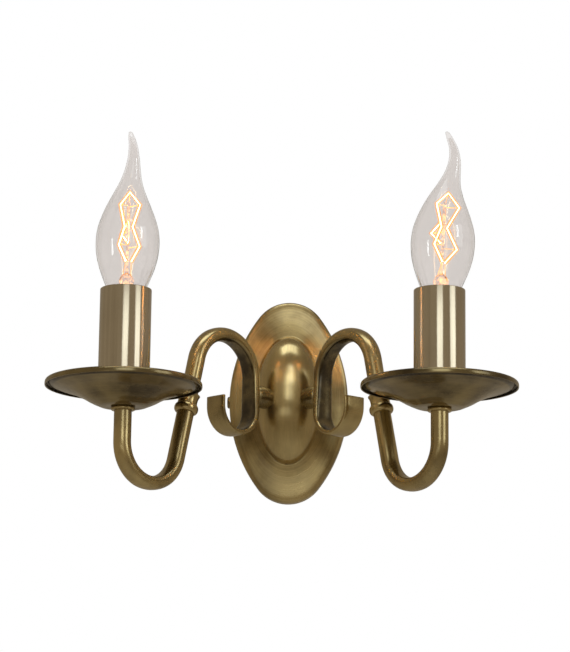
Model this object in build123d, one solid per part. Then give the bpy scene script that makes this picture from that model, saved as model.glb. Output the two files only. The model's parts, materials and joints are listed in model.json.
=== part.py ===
"""Double arm wall sconce: two scrolled brass arms with candle lamps on an oval wall plate.

Millimetres. X runs along the wall, +Y goes into the wall and +Z is up.  The origin is the
middle of the wall bracket's back face, on the wall.
"""
from build123d import *
import os
from math import cos, degrees, hypot, pi, radians, sin

# ---- wall plate: an oval drawn with four arcs, swept up to a domed middle -----------------
PLATE_HALF_WIDTH = 33.2
PLATE_HALF_HEIGHT = 57.8
PLATE_END_RADIUS = 20.8
PLATE_WALL = 1.0
PLATE_RIM_DEPTH = 6.0
# face of the flange: (share of the way from the rim to the dome, depth beyond the rim)
FLANGE_FACE = [(0.0, 0.0), (0.035, 0.8), (0.12, 1.3), (0.4, 2.0), (0.7, 3.0), (1.0, 4.6)]
DOME_RADIUS = 19.4
DOME_HALF_HEIGHT = 37.2
DOME_CENTRE_Y = -13.0
FLANGE_TUCK = 1.2
HOLE_DEPTH = 3.0

# ---- wall bracket, its screws and the thumb screws that hold the plate ---------------------
BRACKET_THICK = 1.5
BRACKET_HALF_LENGTH = 31.4
BRACKET_HEIGHT = 16.0
WALL_SLOT_SPACING = 40.0
WALL_SLOT_WIDTH = 4.5
WALL_SLOT_LENGTH = 9.0
CABLE_HOLE_RADIUS = 5.0
EAR_HEIGHT = 9.0
EAR_DEPTH = 5.5
TONGUE_WIDTH = 20.0
TONGUE_BOTTOM_Z = -24.0
TAB_WIDTH = 12.0
TAB_TOP_Z = 19.0
THUMB_AXIS_Y = -3.5
THUMB_SHANK_RADIUS = 1.25
THUMB_SHANK_LENGTH = 6.2
THUMB_HEAD_RADIUS = 3.4
THUMB_HEAD_LENGTH = 2.4
THUMB_HEAD_ROUND = 0.95
THREAD_CLEARANCE = 0.06
HOLE_CLEARANCE = 0.25

# ---- terminal block and earth -------------------------------------------------------------
POLE_PITCH = 9.0
POLE_BORE = 1.9
POLE_TUBE_RADIUS = 2.7
BLOCK_TOP_Z = -9.5
BLOCK_HEIGHT = 12.0
BLOCK_DEPTH = 11.5
BLOCK_END_WALL = 1.0
POLE_TUBE_SHY = 0.3
POLE_SCREW_RADIUS = 1.5
POLE_SLOT_WIDTH = 0.5
POLE_SLOT_DEPTH = 0.6
BLOCK_SCREW_RADIUS = 1.2
BLOCK_HEAD_RADIUS = 2.0
BLOCK_HEAD_HEIGHT = 1.2
BLOCK_SLOT_WIDTH = 0.5
BLOCK_SLOT_DEPTH = 0.5
SCREW_END_SHY = 0.2
EARTH_SCREW_Z = 13.5
EARTH_SCREW_RADIUS = 2.0
EARTH_HEAD_RADIUS = 3.8
EARTH_HEAD_HEIGHT = 2.6
EARTH_SLOT_WIDTH = 0.9
EARTH_SLOT_DEPTH = 0.8
EARTH_LUG_RADIUS = 3.9
EARTH_LUG_THICK = 0.8
EARTH_LUG_NECK = 2.6
EARTH_FERRULE = 1.0

# ---- arms: one bent tube each, flattened towards the scroll --------------------------------
ARM_YAW = 41.5
TUBE_RADIUS = 4.8
TUBE_WALL = 1.0
TUBE_TOP_Z = -12.4
BEND_RADIUS = 20.3
BEND_BOTTOM_Z = -61.6
RISE_LEAN = 13.8
LOOP_RADIUS = 21.9
LOOP_TOP_Z = 29.3
CURL_RADIUS = 13.7
CURL_CENTRE_Z = -11.6
CURL_TAIL = 5.3
THICK_IN_BEND = 7.5
THICK_AT_COLLAR = 9.3
THICK_AT_LOOP_TOP = 7.9
THICK_AT_BOSS = 5.6
THICK_AT_CURL = 3.4
THICK_AT_END = 2.2
SPLIT_IN_COLLAR = 1.0
BORE_PAST_BOSS = 7.0
STATION_STEP = 4.0
SECTION_POINTS = 16

# ---- collar on the rising part of an arm ---------------------------------------------------
COLLAR_BEAD_RADIUS = 6.7
COLLAR_BEAD_HEIGHT = 5.0
COLLAR_NECK_RADIUS = 5.4
COLLAR_MOUTH_RADIUS = 6.2
COLLAR_LENGTH = 10.5
COLLAR_STEP_HEIGHT = 1.2
COLLAR_STEP_WIDTH = 0.2
COLLAR_FLARE_DEPTH = 0.35
COLLAR_BEAD_Z = -17.0
COLLAR_CLEARANCE = 0.1
SLIP_CLEARANCE = 0.03

# ---- boss between arm and dome, with its hollow nipple -------------------------------------
BOSS_Z = -1.8
BOSS_RADIUS = 6.25
BOSS_LENGTH = 8.5
BOSS_CHAMFER = 0.8
BOSS_SEAT = 1.5
BOSS_CUT = 3.0
NIPPLE_RADIUS = 4.0
NIPPLE_BORE = 2.7
NIPPLE_INSIDE = 7.5
SADDLE_RADIUS = 6.8
SADDLE_THICK = 2.4
NUT_ACROSS_FLATS = 12.0
NUT_HEIGHT = 3.0

# ---- drip pan and the ring under it --------------------------------------------------------
PAN_RADIUS = 42.5
PAN_WALL = 0.8
PAN_FLOOR_Z = -23.0
PAN_RIM_Z = -8.9
PAN_FLAT_RADIUS = 10.0
PAN_CUP_RADIUS = 15.4
PAN_CUP_RISE = 1.5
PAN_LIP_DROP = 3.0
PAN_BOWL_END_RADIUS = 38.9
PAN_BOWL_END_DROP = 2.7
PAN_CREST_INSET = 1.6
PAN_CREST_SAG = 0.3
PAN_LIP_SAG = 0.45
# bowl between the cup and the lip: (radius, height above the floor)
PAN_BOWL = [(22.5, 5.2), (28.7, 8.1), (34.5, 10.0)]
RING_RADIUS = 6.6
RING_HEIGHT = 1.8
RING_ROUND = 0.6
PAN_NUT_ACROSS_FLATS = 14.0
PAN_NUT_HEIGHT = 2.6

# ---- candle sleeve and lampholder (small Edison screw) -------------------------------------
SLEEVE_RADIUS = 14.0
SLEEVE_WALL = 0.8
SLEEVE_TOP_Z = 42.0
HOLDER_RADIUS = 12.6
HOLDER_WALL = 1.8
HOLDER_TOP_Z = 31.5
HOLDER_BASE_HEIGHT = 17.0
HOLDER_FLOOR = 3.0
HOLDER_MOUTH_RADIUS = 9.2
HOLDER_WELL_RADIUS = 2.4
HOLDER_WELL_DEPTH = 5.0
SHELL_BORE = 7.0
SHELL_WALL = 0.4
SHELL_BOTTOM_Z = 12.8
SHELL_TOP_Z = 29.5
SHELL_STOP = 1.0
SLEEVE_TOP_ROUND = 0.3
SPRING_DROP = 1.5
SPRING_LENGTH = 9.0
SPRING_WIDTH = 3.0
SPRING_THICK = 0.4
SPRING_BUTTON_RADIUS = 1.8

# ---- bulb: bent-tip candle shape, heights from its bottom contact --------------------------
BULB_BASE_Z = 10.8
CONTACT_RADIUS = 2.4
CONTACT_HEIGHT = 1.2
CONTACT_ROUND = 0.7
INSULATOR_HEIGHT = 3.2
CAP_CORE_RADIUS = 6.35
CAP_CREST_RADIUS = 6.92
CAP_WALL = 0.3
CAP_TOP = 20.0
CAP_CRESTS = 5
CREST_PITCH = 2.82
CREST_START = 1.6
GLASS_WALL = 0.7
GLASS_BOTTOM = 17.5
# (height, radius, sideways sway of the centre)
GLASS_STATIONS = [
    (17.5, 5.6, 0.0), (20.0, 5.85, 0.0), (22.2, 6.6, 0.0), (26.5, 8.5, 0.0), (32.0, 10.9, 0.0),
    (38.0, 13.3, 0.0), (44.0, 15.4, 0.0), (50.0, 16.8, 0.0), (57.0, 17.4, 0.0), (64.2, 16.8, 0.0),
    (70.9, 14.9, 0.0), (77.7, 12.2, 0.1), (84.4, 9.1, 0.6), (91.1, 6.2, 1.9), (97.8, 4.4, 3.5),
    (104.5, 3.3, 4.3), (111.2, 2.5, 3.4), (116.4, 1.9, 1.3), (120.0, 1.2, -0.4),
]
GLASS_INNER_STATIONS = 16
GLASS_TILT = {"left": 0.3, "right": 2.8}
GLASS_TURN = {"left": -58.0, "right": 0.0}
FILAMENT_TURN = {"left": -30.0, "right": 0.0}
STEM_TOP = 39.0
# glass stem: (radius, height)
STEM_OUTLINE = [(4.8, 18.0), (3.2, 25.0), (3.6, 33.0), (4.2, 36.0), (2.8, STEM_TOP)]
ROD_RADIUS = 0.8
ROD_FOOT = 40.0
ROD_TOP = 79.5
BUTTON_RADIUS = 1.2
FILAMENT_RADIUS = 0.25
SUPPORT_RADIUS = 0.15
SUPPORT_GAP = 0.9
SUPPORT_SEAT = 0.12
LEAD_IN_FEET = (-1.9, 2.2)
# corners of the glowing wire: (across, fore and aft, height)
FILAMENT_CORNERS = [
    (0.2, -1.6, 47.0), (-4.6, -1.8, 56.5), (-1.2, -1.6, 66.5), (-4.4, -1.8, 79.0),
    (1.7, -1.6, 85.2), (8.0, -0.6, 77.5), (1.9, 1.6, 66.5), (7.8, 0.4, 54.5), (1.6, 1.6, 47.0),
]
BACK_FILAMENT_CORNERS = [(-1.2, 1.8, 70.0), (-6.6, 3.2, 63.6), (-1.2, 1.8, 58.0)]
# corner number and the height on the rod where its hook starts
HOOK_FEET = [(1, 56.5), (3, 78.5), (4, 80.4), (5, 77.5), (7, 54.5)]

# ---- flexible leads ------------------------------------------------------------------------
LEAD_RADIUS = 0.8
LEAD_OFFSET = 1.0
LEAD_BEND = 2.0
LEAD_STEP_SHARE = 0.22
LEAD_GAP = 0.1
LEAD_PAST_NIPPLE = 3.0
LEAD_LEVEL_STEP = 4.0
POLE_BITE = 2.5
EARTH_LEAD_RADIUS = 0.9
EARTH_LEAD_BEND = 2.2
EARTH_LEAD_ELBOWS = [(9.0, -7.25, 2.0), (13.5, -3.6, 9.0)]
EARTH_LEAD_TURN_X = 11.5

SIDES = {"left": -1, "right": 1}
parts = {}

# ============================================================================================
# values worked out from the driving dimensions
# ============================================================================================
lean = radians(RISE_LEAN)
bend_centre_z = BEND_BOTTOM_Z + BEND_RADIUS
loop_centre_z = LOOP_TOP_Z - LOOP_RADIUS
rise_length = (loop_centre_z - bend_centre_z + (LOOP_RADIUS + BEND_RADIUS) * sin(lean)) / cos(lean)
loop_centre_x = BEND_RADIUS + (BEND_RADIUS + LOOP_RADIUS) * cos(lean) + rise_length * sin(lean)
back_x = loop_centre_x + LOOP_RADIUS
boss_start_x = back_x + THICK_AT_BOSS / 2
dome_face_x = boss_start_x + BOSS_LENGTH
arm_reach = dome_face_x + DOME_RADIUS

# the centreline as (kind, length or radius, turn in degrees), from the tube's top end
ARM_RUNS = [
    ("line", TUBE_TOP_Z - bend_centre_z, 0.0),
    ("arc", BEND_RADIUS, 180.0 - RISE_LEAN),
    ("line", rise_length, 0.0),
    ("arc", LOOP_RADIUS, RISE_LEAN - 180.0),
    ("line", loop_centre_z - CURL_CENTRE_Z, 0.0),
    ("arc", CURL_RADIUS, -180.0),
    ("line", CURL_TAIL, 0.0),
]


def run_length(run):
    """Length of one run of the centreline."""
    kind, size, turn = run
    return size if kind == "line" else size * radians(abs(turn))


run_ends = [sum(run_length(r) for r in ARM_RUNS[:n + 1]) for n in range(len(ARM_RUNS))]
drop_end, bend_end, rise_end, loop_end, back_end = run_ends[:5]
arm_end = run_ends[-1]
collar_start = bend_end + (COLLAR_BEAD_Z - bend_centre_z + BEND_RADIUS * sin(lean)) / cos(lean)
collar_start = collar_start - COLLAR_BEAD_HEIGHT / 2
flat_start = collar_start + COLLAR_LENGTH - SPLIT_IN_COLLAR
loop_top_at = rise_end + LOOP_RADIUS * (pi / 2 - lean)
boss_at = loop_end + (loop_centre_z - BOSS_Z)
hollow_end = boss_at + BORE_PAST_BOSS


def travel(distance):
    """(x, z, heading in degrees) on the arm's centreline, at a distance from its top end."""
    x, z, heading, left = 0.0, TUBE_TOP_Z, -90.0, distance
    for kind, size, turn in ARM_RUNS:
        step = min(left, run_length((kind, size, turn)))
        angle = radians(heading)
        if kind == "line":
            x, z = x + step * cos(angle), z + step * sin(angle)
        else:
            side = 1 if turn > 0 else -1
            swept = side * degrees(step / size)
            end = radians(heading + swept)
            x = x + side * size * (sin(end) - sin(angle))
            z = z - side * size * (cos(end) - cos(angle))
            heading += swept
        left -= step
        if left <= 1e-9:
            break
    return x, z, heading


def centreline(start, end, y=0.0):
    """Wire that follows the arm's centreline between two distances, y beside it."""
    stops = [start] + [s for s in run_ends if start + 1e-6 < s < end - 1e-6] + [end]
    edges = []
    for first, last in zip(stops, stops[1:]):
        a, b, c = travel(first), travel((first + last) / 2), travel(last)
        p, q, r = [(point[0], y, point[1]) for point in (a, b, c)]
        straight = abs(a[2] - c[2]) < 1e-6
        edges.append(Edge.make_line(p, r) if straight else Edge.make_three_point_arc(p, q, r))
    return edges


def section_plane(distance):
    """Plane square to the arm's centreline: its X is the arm's width, its Y the thickness."""
    x, z, heading = travel(distance)
    along = (cos(radians(heading)), 0, sin(radians(heading)))
    return Plane(origin=(x, 0, z), x_dir=(0, 1, 0), z_dir=along)


def thickness_at(distance):
    """Thickness of the flattened tube at a distance along the centreline."""
    stations = [
        (drop_end, 2 * TUBE_RADIUS), ((drop_end + bend_end) / 2, THICK_IN_BEND),
        (collar_start, THICK_AT_COLLAR), (flat_start, THICK_AT_COLLAR),
        (loop_top_at, THICK_AT_LOOP_TOP), (boss_at, THICK_AT_BOSS),
        (back_end + CURL_RADIUS * pi / 2, THICK_AT_CURL), (arm_end, THICK_AT_END),
    ]
    for (s0, t0), (s1, t1) in zip(stations, stations[1:]):
        if distance <= s1:
            return t0 + (t1 - t0) * max(0.0, distance - s0) / (s1 - s0)
    return THICK_AT_END


def width_for(thick):
    """Width of the flattened tube, which keeps the girth of the round one."""
    return thick + pi * (2 * TUBE_RADIUS - thick) / 2


def flat_section(distance, inset):
    """Face of the flattened tube at a distance along the centreline."""
    thick = thickness_at(distance)
    width = width_for(thick)
    squareness = 2 + 2 * (2 * TUBE_RADIUS - thick) / (2 * TUBE_RADIUS)
    half_w, half_t = width / 2 - inset, thick / 2 - inset
    points = []
    for n in range(SECTION_POINTS):
        angle = 2 * pi * n / SECTION_POINTS
        c, s = cos(angle), sin(angle)
        spread = (abs(c) ** squareness + abs(s) ** squareness) ** (-1 / squareness)
        points.append((half_w * c * spread, half_t * s * spread))
    edge = Edge.make_spline([Vector(*p) for p in points], periodic=True)
    return section_plane(distance) * Face(Wire([edge]))


def side_frame(side):
    """Location of an arm's own frame, whose lamp axis is its Z axis and whose X leads to the dome."""
    turn = Rotation(0, 0, 90 + SIDES[side] * ARM_YAW)
    return Pos(0, DOME_CENTRE_Y, 0) * turn * Pos(-arm_reach, 0, 0)


def place(shape, side):
    """Moves a piece from its arm's own frame to its side of the wall."""
    return side_frame(side) * shape


def ring(outer, inner, low, high):
    """Plain tube on the Z axis."""
    height = high - low
    tube = Cylinder(outer, height) - Cylinder(inner, height)
    return Pos(0, 0, (low + high) / 2) * tube


def turned(points):
    """Solid turned about Z from a closed outline of (radius, height) corners."""
    outline = Polyline(*[(r, 0, z) for r, z in points], close=True)
    return revolve(make_face(outline), Axis.Z)


def rod_between(start, end, radius):
    """Round rod from point to point."""
    a, b = Vector(*start), Vector(*end)
    length = (b - a).length
    plane = Plane(origin=a, z_dir=(b - a).normalized())
    return plane * Cylinder(radius, length, align=(Align.CENTER, Align.CENTER, Align.MIN))


def bent_wire(points, radius):
    """Wire with sharp corners, as one solid."""
    wire = rod_between(points[0], points[1], radius)
    for a, b in zip(points[1:], points[2:]):
        wire += Pos(*a) * Sphere(radius) + rod_between(a, b, radius)
    return wire


def lead(edges, radius):
    """Round flexible lead along tangent lines and arcs."""
    path = Wire(edges)
    start = path.position_at(0)
    profile = Plane(origin=start, z_dir=path.tangent_at(0)) * Circle(radius)
    return sweep(profile, path=path)


# ============================================================================================
# wall plate and bracket
# ============================================================================================
def oval(half_width, half_height, end_radius, y):
    """Oval of four tangent arcs in the plane y, as a face."""
    end_z = half_height - end_radius
    side_radius = (half_width ** 2 + end_z ** 2 - end_radius ** 2) / (2 * (half_width - end_radius))
    side_x = half_width - side_radius
    reach = hypot(side_x, end_z)
    joint_x = side_x - side_x / reach * side_radius
    joint_z = end_z / reach * side_radius
    corners = [(joint_x, joint_z), (-joint_x, joint_z), (-joint_x, -joint_z), (joint_x, -joint_z)]
    middles = [(0, half_height), (-half_width, 0), (0, -half_height), (half_width, 0)]
    arcs = []
    for n in range(4):
        p, q, r = corners[n], middles[n], corners[(n + 1) % 4]
        arcs.append(Edge.make_three_point_arc(*[(v[0], y, v[1]) for v in (p, q, r)]))
    return Face(Wire(arcs))


def plate_body(inset):
    """Solid outline of the plate, shrunk all round by an inset."""
    rim = -PLATE_RIM_DEPTH
    back = oval(PLATE_HALF_WIDTH - inset, PLATE_HALF_HEIGHT - inset, PLATE_END_RADIUS - inset, 0.0)
    body = extrude(back, amount=PLATE_RIM_DEPTH - inset, dir=(0, -1, 0))
    tuck_width = DOME_RADIUS - FLANGE_TUCK
    tuck_height = DOME_HALF_HEIGHT - FLANGE_TUCK
    tuck_end = tuck_width ** 2 / tuck_height
    faces = []
    for share, depth in FLANGE_FACE:
        width = PLATE_HALF_WIDTH + (tuck_width - PLATE_HALF_WIDTH) * share - inset
        height = PLATE_HALF_HEIGHT + (tuck_height - PLATE_HALF_HEIGHT) * share - inset
        end = PLATE_END_RADIUS + (tuck_end - PLATE_END_RADIUS) * share - inset
        faces.append(oval(width, height, end, rim - depth + inset))
    body += loft(faces)
    dome = scale(Sphere(1.0), by=(DOME_RADIUS - inset, DOME_RADIUS - inset, DOME_HALF_HEIGHT - inset))
    half = Pos(0, -DOME_RADIUS, 0) * Box(4 * DOME_RADIUS, 2 * DOME_RADIUS, 4 * DOME_HALF_HEIGHT)
    foot_depth = -DOME_CENTRE_Y - PLATE_RIM_DEPTH + inset
    foot = extrude(
        Plane.XZ * Ellipse(DOME_RADIUS - inset, DOME_HALF_HEIGHT - inset), amount=-foot_depth
    )
    return body + Pos(0, DOME_CENTRE_Y, 0) * (dome & half) + Pos(0, DOME_CENTRE_Y, 0) * foot


def along_boss(radius, start_x, end_x):
    """Cylinder on the boss axis of an arm, in the arm's frame."""
    cylinder = Cylinder(radius, end_x - start_x, rotation=(0, 90, 0))
    return Pos((start_x + end_x) / 2, 0, BOSS_Z) * cylinder


def from_wall_frame(shape, side):
    """Moves a piece from the wall's frame to an arm's own frame."""
    return side_frame(side).inverse() * shape


dome_outside = plate_body(0.0)
dome_inside = plate_body(PLATE_WALL)


def back_plate():
    """Oval plate pressed from one sheet, open at the wall."""
    plate = dome_outside - dome_inside
    for side in SIDES:
        low, high = dome_face_x - HOLE_DEPTH, dome_face_x + HOLE_DEPTH + PLATE_WALL
        hole = along_boss(NIPPLE_RADIUS + HOLE_CLEARANCE, low, high)
        plate -= place(hole, side)
    hole_radius = THUMB_SHANK_RADIUS + HOLE_CLEARANCE
    screw_holes = Cylinder(hole_radius, 4 * PLATE_HALF_WIDTH, rotation=(0, 90, 0))
    return plate - Pos(0, THUMB_AXIS_Y, 0) * screw_holes


def wall_slot(x):
    """Cutter for one slot of the wall bracket."""
    slot = Plane.XZ * SlotOverall(WALL_SLOT_LENGTH, WALL_SLOT_WIDTH)
    return Pos(x, 0, 0) * extrude(slot, amount=2 * BRACKET_THICK, both=True)


def wall_bracket():
    """Steel strap with turned-up ears, a tongue for the terminals and a tab for the earth."""
    middle_y = -BRACKET_THICK / 2
    strap = Pos(0, middle_y, 0) * Box(2 * BRACKET_HALF_LENGTH, BRACKET_THICK, BRACKET_HEIGHT)
    tongue = Box(TONGUE_WIDTH, BRACKET_THICK, -TONGUE_BOTTOM_Z)
    strap += Pos(0, middle_y, TONGUE_BOTTOM_Z / 2) * tongue
    strap += Pos(0, middle_y, TAB_TOP_Z / 2) * Box(TAB_WIDTH, BRACKET_THICK, TAB_TOP_Z)
    for sign in (-1, 1):
        x = sign * (BRACKET_HALF_LENGTH - BRACKET_THICK / 2)
        strap += Pos(x, -EAR_DEPTH / 2, 0) * Box(BRACKET_THICK, EAR_DEPTH, EAR_HEIGHT)
        strap -= wall_slot(sign * WALL_SLOT_SPACING / 2)
    tapped_radius = THUMB_SHANK_RADIUS + THREAD_CLEARANCE
    tapped = Cylinder(tapped_radius, 4 * BRACKET_HALF_LENGTH, rotation=(0, 90, 0))
    strap -= Pos(0, THUMB_AXIS_Y, 0) * tapped
    strap -= Cylinder(CABLE_HOLE_RADIUS, 4 * BRACKET_THICK, rotation=(90, 0, 0))
    earth_hole = Cylinder(EARTH_SCREW_RADIUS, 4 * BRACKET_THICK, rotation=(90, 0, 0))
    strap -= Pos(0, 0, EARTH_SCREW_Z) * earth_hole
    block_hole = Cylinder(BLOCK_SCREW_RADIUS, 4 * BRACKET_THICK, rotation=(90, 0, 0))
    return strap - Pos(-POLE_PITCH / 2, 0, BLOCK_TOP_Z - BLOCK_HEIGHT / 2) * block_hole


def side_screw():
    """Thumb screw along X, head seated on the plate's rim at x = 0."""
    head = Cylinder(THUMB_HEAD_RADIUS, THUMB_HEAD_LENGTH, rotation=(0, 90, 0))
    head = Pos(THUMB_HEAD_LENGTH / 2, 0, 0) * head
    outer_edge = head.edges().group_by(Axis.X)[-1]
    head = fillet(outer_edge, THUMB_HEAD_ROUND)
    shank = Cylinder(THUMB_SHANK_RADIUS, THUMB_SHANK_LENGTH, rotation=(0, 90, 0))
    return head + Pos(-THUMB_SHANK_LENGTH / 2, 0, 0) * shank


# ============================================================================================
# terminals
# ============================================================================================
pole_y = -BRACKET_THICK - BLOCK_DEPTH / 2
block_middle_z = BLOCK_TOP_Z - BLOCK_HEIGHT / 2
pole_xs = [-POLE_PITCH, 0.0, POLE_PITCH]
screw_zs = [block_middle_z - BLOCK_HEIGHT / 4, block_middle_z + BLOCK_HEIGHT / 4]
block_front_y = -BRACKET_THICK - BLOCK_DEPTH


def terminal_block():
    """Moulded three-pole block on the bracket's tongue."""
    width = 2 * POLE_PITCH + 2 * (POLE_TUBE_RADIUS + BLOCK_END_WALL)
    block = Pos(0, pole_y, block_middle_z) * Box(width, BLOCK_DEPTH, BLOCK_HEIGHT)
    for x in pole_xs:
        block -= Pos(x, pole_y, block_middle_z) * Cylinder(POLE_TUBE_RADIUS, 2 * BLOCK_HEIGHT)
        for z in screw_zs:
            depth = pole_y - block_front_y
            bore = Cylinder(POLE_SCREW_RADIUS, depth, rotation=(90, 0, 0))
            block -= Pos(x, block_front_y + depth / 2, z) * bore
    through = Cylinder(BLOCK_SCREW_RADIUS, 4 * BLOCK_DEPTH, rotation=(90, 0, 0))
    return block - Pos(-POLE_PITCH / 2, pole_y, block_middle_z) * through


def terminal_tubes():
    """Brass tube of each pole."""
    height = BLOCK_HEIGHT - 2 * POLE_TUBE_SHY
    tube = Cylinder(POLE_TUBE_RADIUS, height) - Cylinder(POLE_BORE, height)
    return Compound(children=[Pos(x, pole_y, block_middle_z) * tube for x in pole_xs])


def terminal_screws():
    """Two clamping screws for each pole."""
    length = pole_y - POLE_TUBE_RADIUS - block_front_y
    screw = Cylinder(POLE_SCREW_RADIUS, length, rotation=(90, 0, 0))
    slot = Box(2 * POLE_SCREW_RADIUS, 2 * POLE_SLOT_DEPTH, POLE_SLOT_WIDTH)
    screw -= Pos(0, -length / 2, 0) * slot
    spots = [(x, block_front_y + length / 2, z) for x in pole_xs for z in screw_zs]
    return Compound(children=[Pos(*spot) * screw for spot in spots])


def block_screw():
    """Screw that holds the terminal block to the tongue."""
    length = BLOCK_DEPTH + BRACKET_THICK - SCREW_END_SHY
    shank = Cylinder(BLOCK_SCREW_RADIUS, length, rotation=(90, 0, 0))
    head = Cylinder(BLOCK_HEAD_RADIUS, BLOCK_HEAD_HEIGHT, rotation=(90, 0, 0))
    slot = Box(2 * BLOCK_HEAD_RADIUS, 2 * BLOCK_SLOT_DEPTH, BLOCK_SLOT_WIDTH)
    screw = shank + Pos(0, -length / 2 - BLOCK_HEAD_HEIGHT / 2, 0) * head
    screw -= Pos(0, -length / 2 - BLOCK_HEAD_HEIGHT, 0) * slot
    return Pos(-POLE_PITCH / 2, block_front_y + length / 2, block_middle_z) * screw


def earth_screw():
    """Screw on the bracket's tab that takes the earth lead's lug."""
    under_head = -BRACKET_THICK - EARTH_LUG_THICK
    shank_length = -under_head - SCREW_END_SHY
    shank = Pos(0, under_head + shank_length / 2, 0) * Cylinder(
        EARTH_SCREW_RADIUS, shank_length, rotation=(90, 0, 0)
    )
    head = Cylinder(EARTH_HEAD_RADIUS, EARTH_HEAD_HEIGHT, rotation=(90, 0, 0))
    head = Pos(0, under_head - EARTH_HEAD_HEIGHT / 2, 0) * head
    slot = Box(2 * EARTH_HEAD_RADIUS, 2 * EARTH_SLOT_DEPTH, EARTH_SLOT_WIDTH)
    screw = shank + head - Pos(0, under_head - EARTH_HEAD_HEIGHT, 0) * slot
    return Pos(0, 0, EARTH_SCREW_Z) * screw


def earth_lead():
    """Lead from the third pole to a ring lug under the earth screw."""
    lug_y = -BRACKET_THICK - EARTH_LUG_THICK / 2
    lug = Cylinder(EARTH_LUG_RADIUS, EARTH_LUG_THICK, rotation=(90, 0, 0))
    lug += Pos(EARTH_LUG_RADIUS, 0, 0) * Box(2 * EARTH_LUG_RADIUS, EARTH_LUG_THICK, EARTH_LUG_NECK)
    lug -= Cylinder(EARTH_SCREW_RADIUS, 2 * EARTH_LUG_THICK, rotation=(90, 0, 0))
    lug = Pos(0, lug_y, EARTH_SCREW_Z) * lug
    ferrule_y = lug_y - EARTH_FERRULE
    route = [(POLE_PITCH, pole_y, BLOCK_TOP_Z - POLE_BITE)] + EARTH_LEAD_ELBOWS
    route.append((EARTH_LEAD_TURN_X, ferrule_y, EARTH_SCREW_Z))
    route.append((2 * EARTH_LUG_RADIUS - EARTH_FERRULE, ferrule_y, EARTH_SCREW_Z))
    path = FilletPolyline(*route, radius=EARTH_LEAD_BEND)
    return lug + lead(path.edges(), EARTH_LEAD_RADIUS)


# ============================================================================================
# arms
# ============================================================================================
def straight_run(inset):
    """The round tube from its top end to the bend, as a solid."""
    return sweep(flat_section(0.0, inset), path=Wire(centreline(0.0, drop_end)))


def bent_run(inset, start, end):
    """A stretch of the bent and flattened tube, as a solid."""
    gaps = round((end - start) / STATION_STEP)
    stops = [start + (end - start) * n / gaps for n in range(gaps + 1)]
    return loft([flat_section(stop, inset) for stop in stops])


scroll_outside = bent_run(0.0, flat_start, arm_end)


def arm_tube():
    """One bent tube with its bore for the leads, which opens at the boss."""
    arm = straight_run(0.0) - straight_run(TUBE_WALL)
    arm += bent_run(0.0, drop_end, flat_start) - bent_run(TUBE_WALL, drop_end, flat_start)
    arm += scroll_outside - bent_run(TUBE_WALL, flat_start, hollow_end)
    return arm - along_boss(NIPPLE_BORE, back_x, boss_start_x + TUBE_WALL)


def arm_collar():
    """Turned collar: a bead, a neck and a flared mouth."""
    bore = width_for(THICK_AT_COLLAR) / 2 + COLLAR_CLEARANCE
    bead_mid = COLLAR_BEAD_HEIGHT / 2
    step = COLLAR_NECK_RADIUS + COLLAR_STEP_WIDTH
    neck = (COLLAR_NECK_RADIUS, COLLAR_BEAD_HEIGHT + COLLAR_STEP_HEIGHT)
    flare = (COLLAR_NECK_RADIUS + COLLAR_FLARE_DEPTH, (neck[1] + COLLAR_LENGTH) / 2)
    lines = [
        Line((bore, 0), (step, 0)),
        ThreePointArc((step, 0), (COLLAR_BEAD_RADIUS, bead_mid), (step, COLLAR_BEAD_HEIGHT)),
        Line((step, COLLAR_BEAD_HEIGHT), neck),
        ThreePointArc(neck, flare, (COLLAR_MOUTH_RADIUS, COLLAR_LENGTH)),
        Line((COLLAR_MOUTH_RADIUS, COLLAR_LENGTH), (bore, COLLAR_LENGTH)),
        Line((bore, COLLAR_LENGTH), (bore, 0)),
    ]
    profile = Plane.XZ * make_face(Wire([line.edge() for line in lines]))
    return section_plane(collar_start) * revolve(profile, Axis.Z)


def arm_spacer(side):
    """Round boss brazed to the back of the arm and seated on the dome."""
    past_dome = dome_face_x + BOSS_CUT
    boss = along_boss(BOSS_RADIUS, boss_start_x - BOSS_SEAT, past_dome)
    boss = chamfer(boss.edges().group_by(Axis.X)[0], BOSS_CHAMFER)
    boss -= scroll_outside
    boss -= from_wall_frame(dome_outside, side)
    boss -= along_boss(NIPPLE_BORE, back_x, past_dome)
    return boss - along_boss(NIPPLE_RADIUS + SLIP_CLEARANCE, boss_start_x + BOSS_SEAT, past_dome)


def arm_nipple():
    """Hollow threaded nipple from the boss into the dome."""
    start, end = boss_start_x + BOSS_SEAT, dome_face_x + PLATE_WALL + NIPPLE_INSIDE
    return along_boss(NIPPLE_RADIUS, start, end) - along_boss(NIPPLE_BORE, start, end)


def nipple_saddle(side):
    """Washer shaped to the inside of the dome."""
    start, end = dome_face_x, dome_face_x + PLATE_WALL + SADDLE_THICK
    washer = along_boss(SADDLE_RADIUS, start, end) & from_wall_frame(dome_inside, side)
    return washer - along_boss(NIPPLE_RADIUS + SLIP_CLEARANCE, start, end)


def nipple_nut():
    """Thin hexagon nut on the nipple."""
    start = dome_face_x + PLATE_WALL + SADDLE_THICK
    flat = RegularPolygon(NUT_ACROSS_FLATS / 2, 6, major_radius=False)
    nut = extrude(flat, amount=NUT_HEIGHT)
    nut -= Cylinder(NIPPLE_RADIUS + SLIP_CLEARANCE, 3 * NUT_HEIGHT)
    return Pos(start, 0, BOSS_Z) * Rotation(0, 90, 0) * nut


# ============================================================================================
# pan, sleeve and lampholder, on the lamp axis
# ============================================================================================
def cup_z(radius):
    """Underside of the pan's small cup at a radius."""
    share = max(0.0, radius - PAN_FLAT_RADIUS) / (PAN_CUP_RADIUS - PAN_FLAT_RADIUS)
    return PAN_FLOOR_Z + PAN_CUP_RISE * share ** 2


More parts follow.
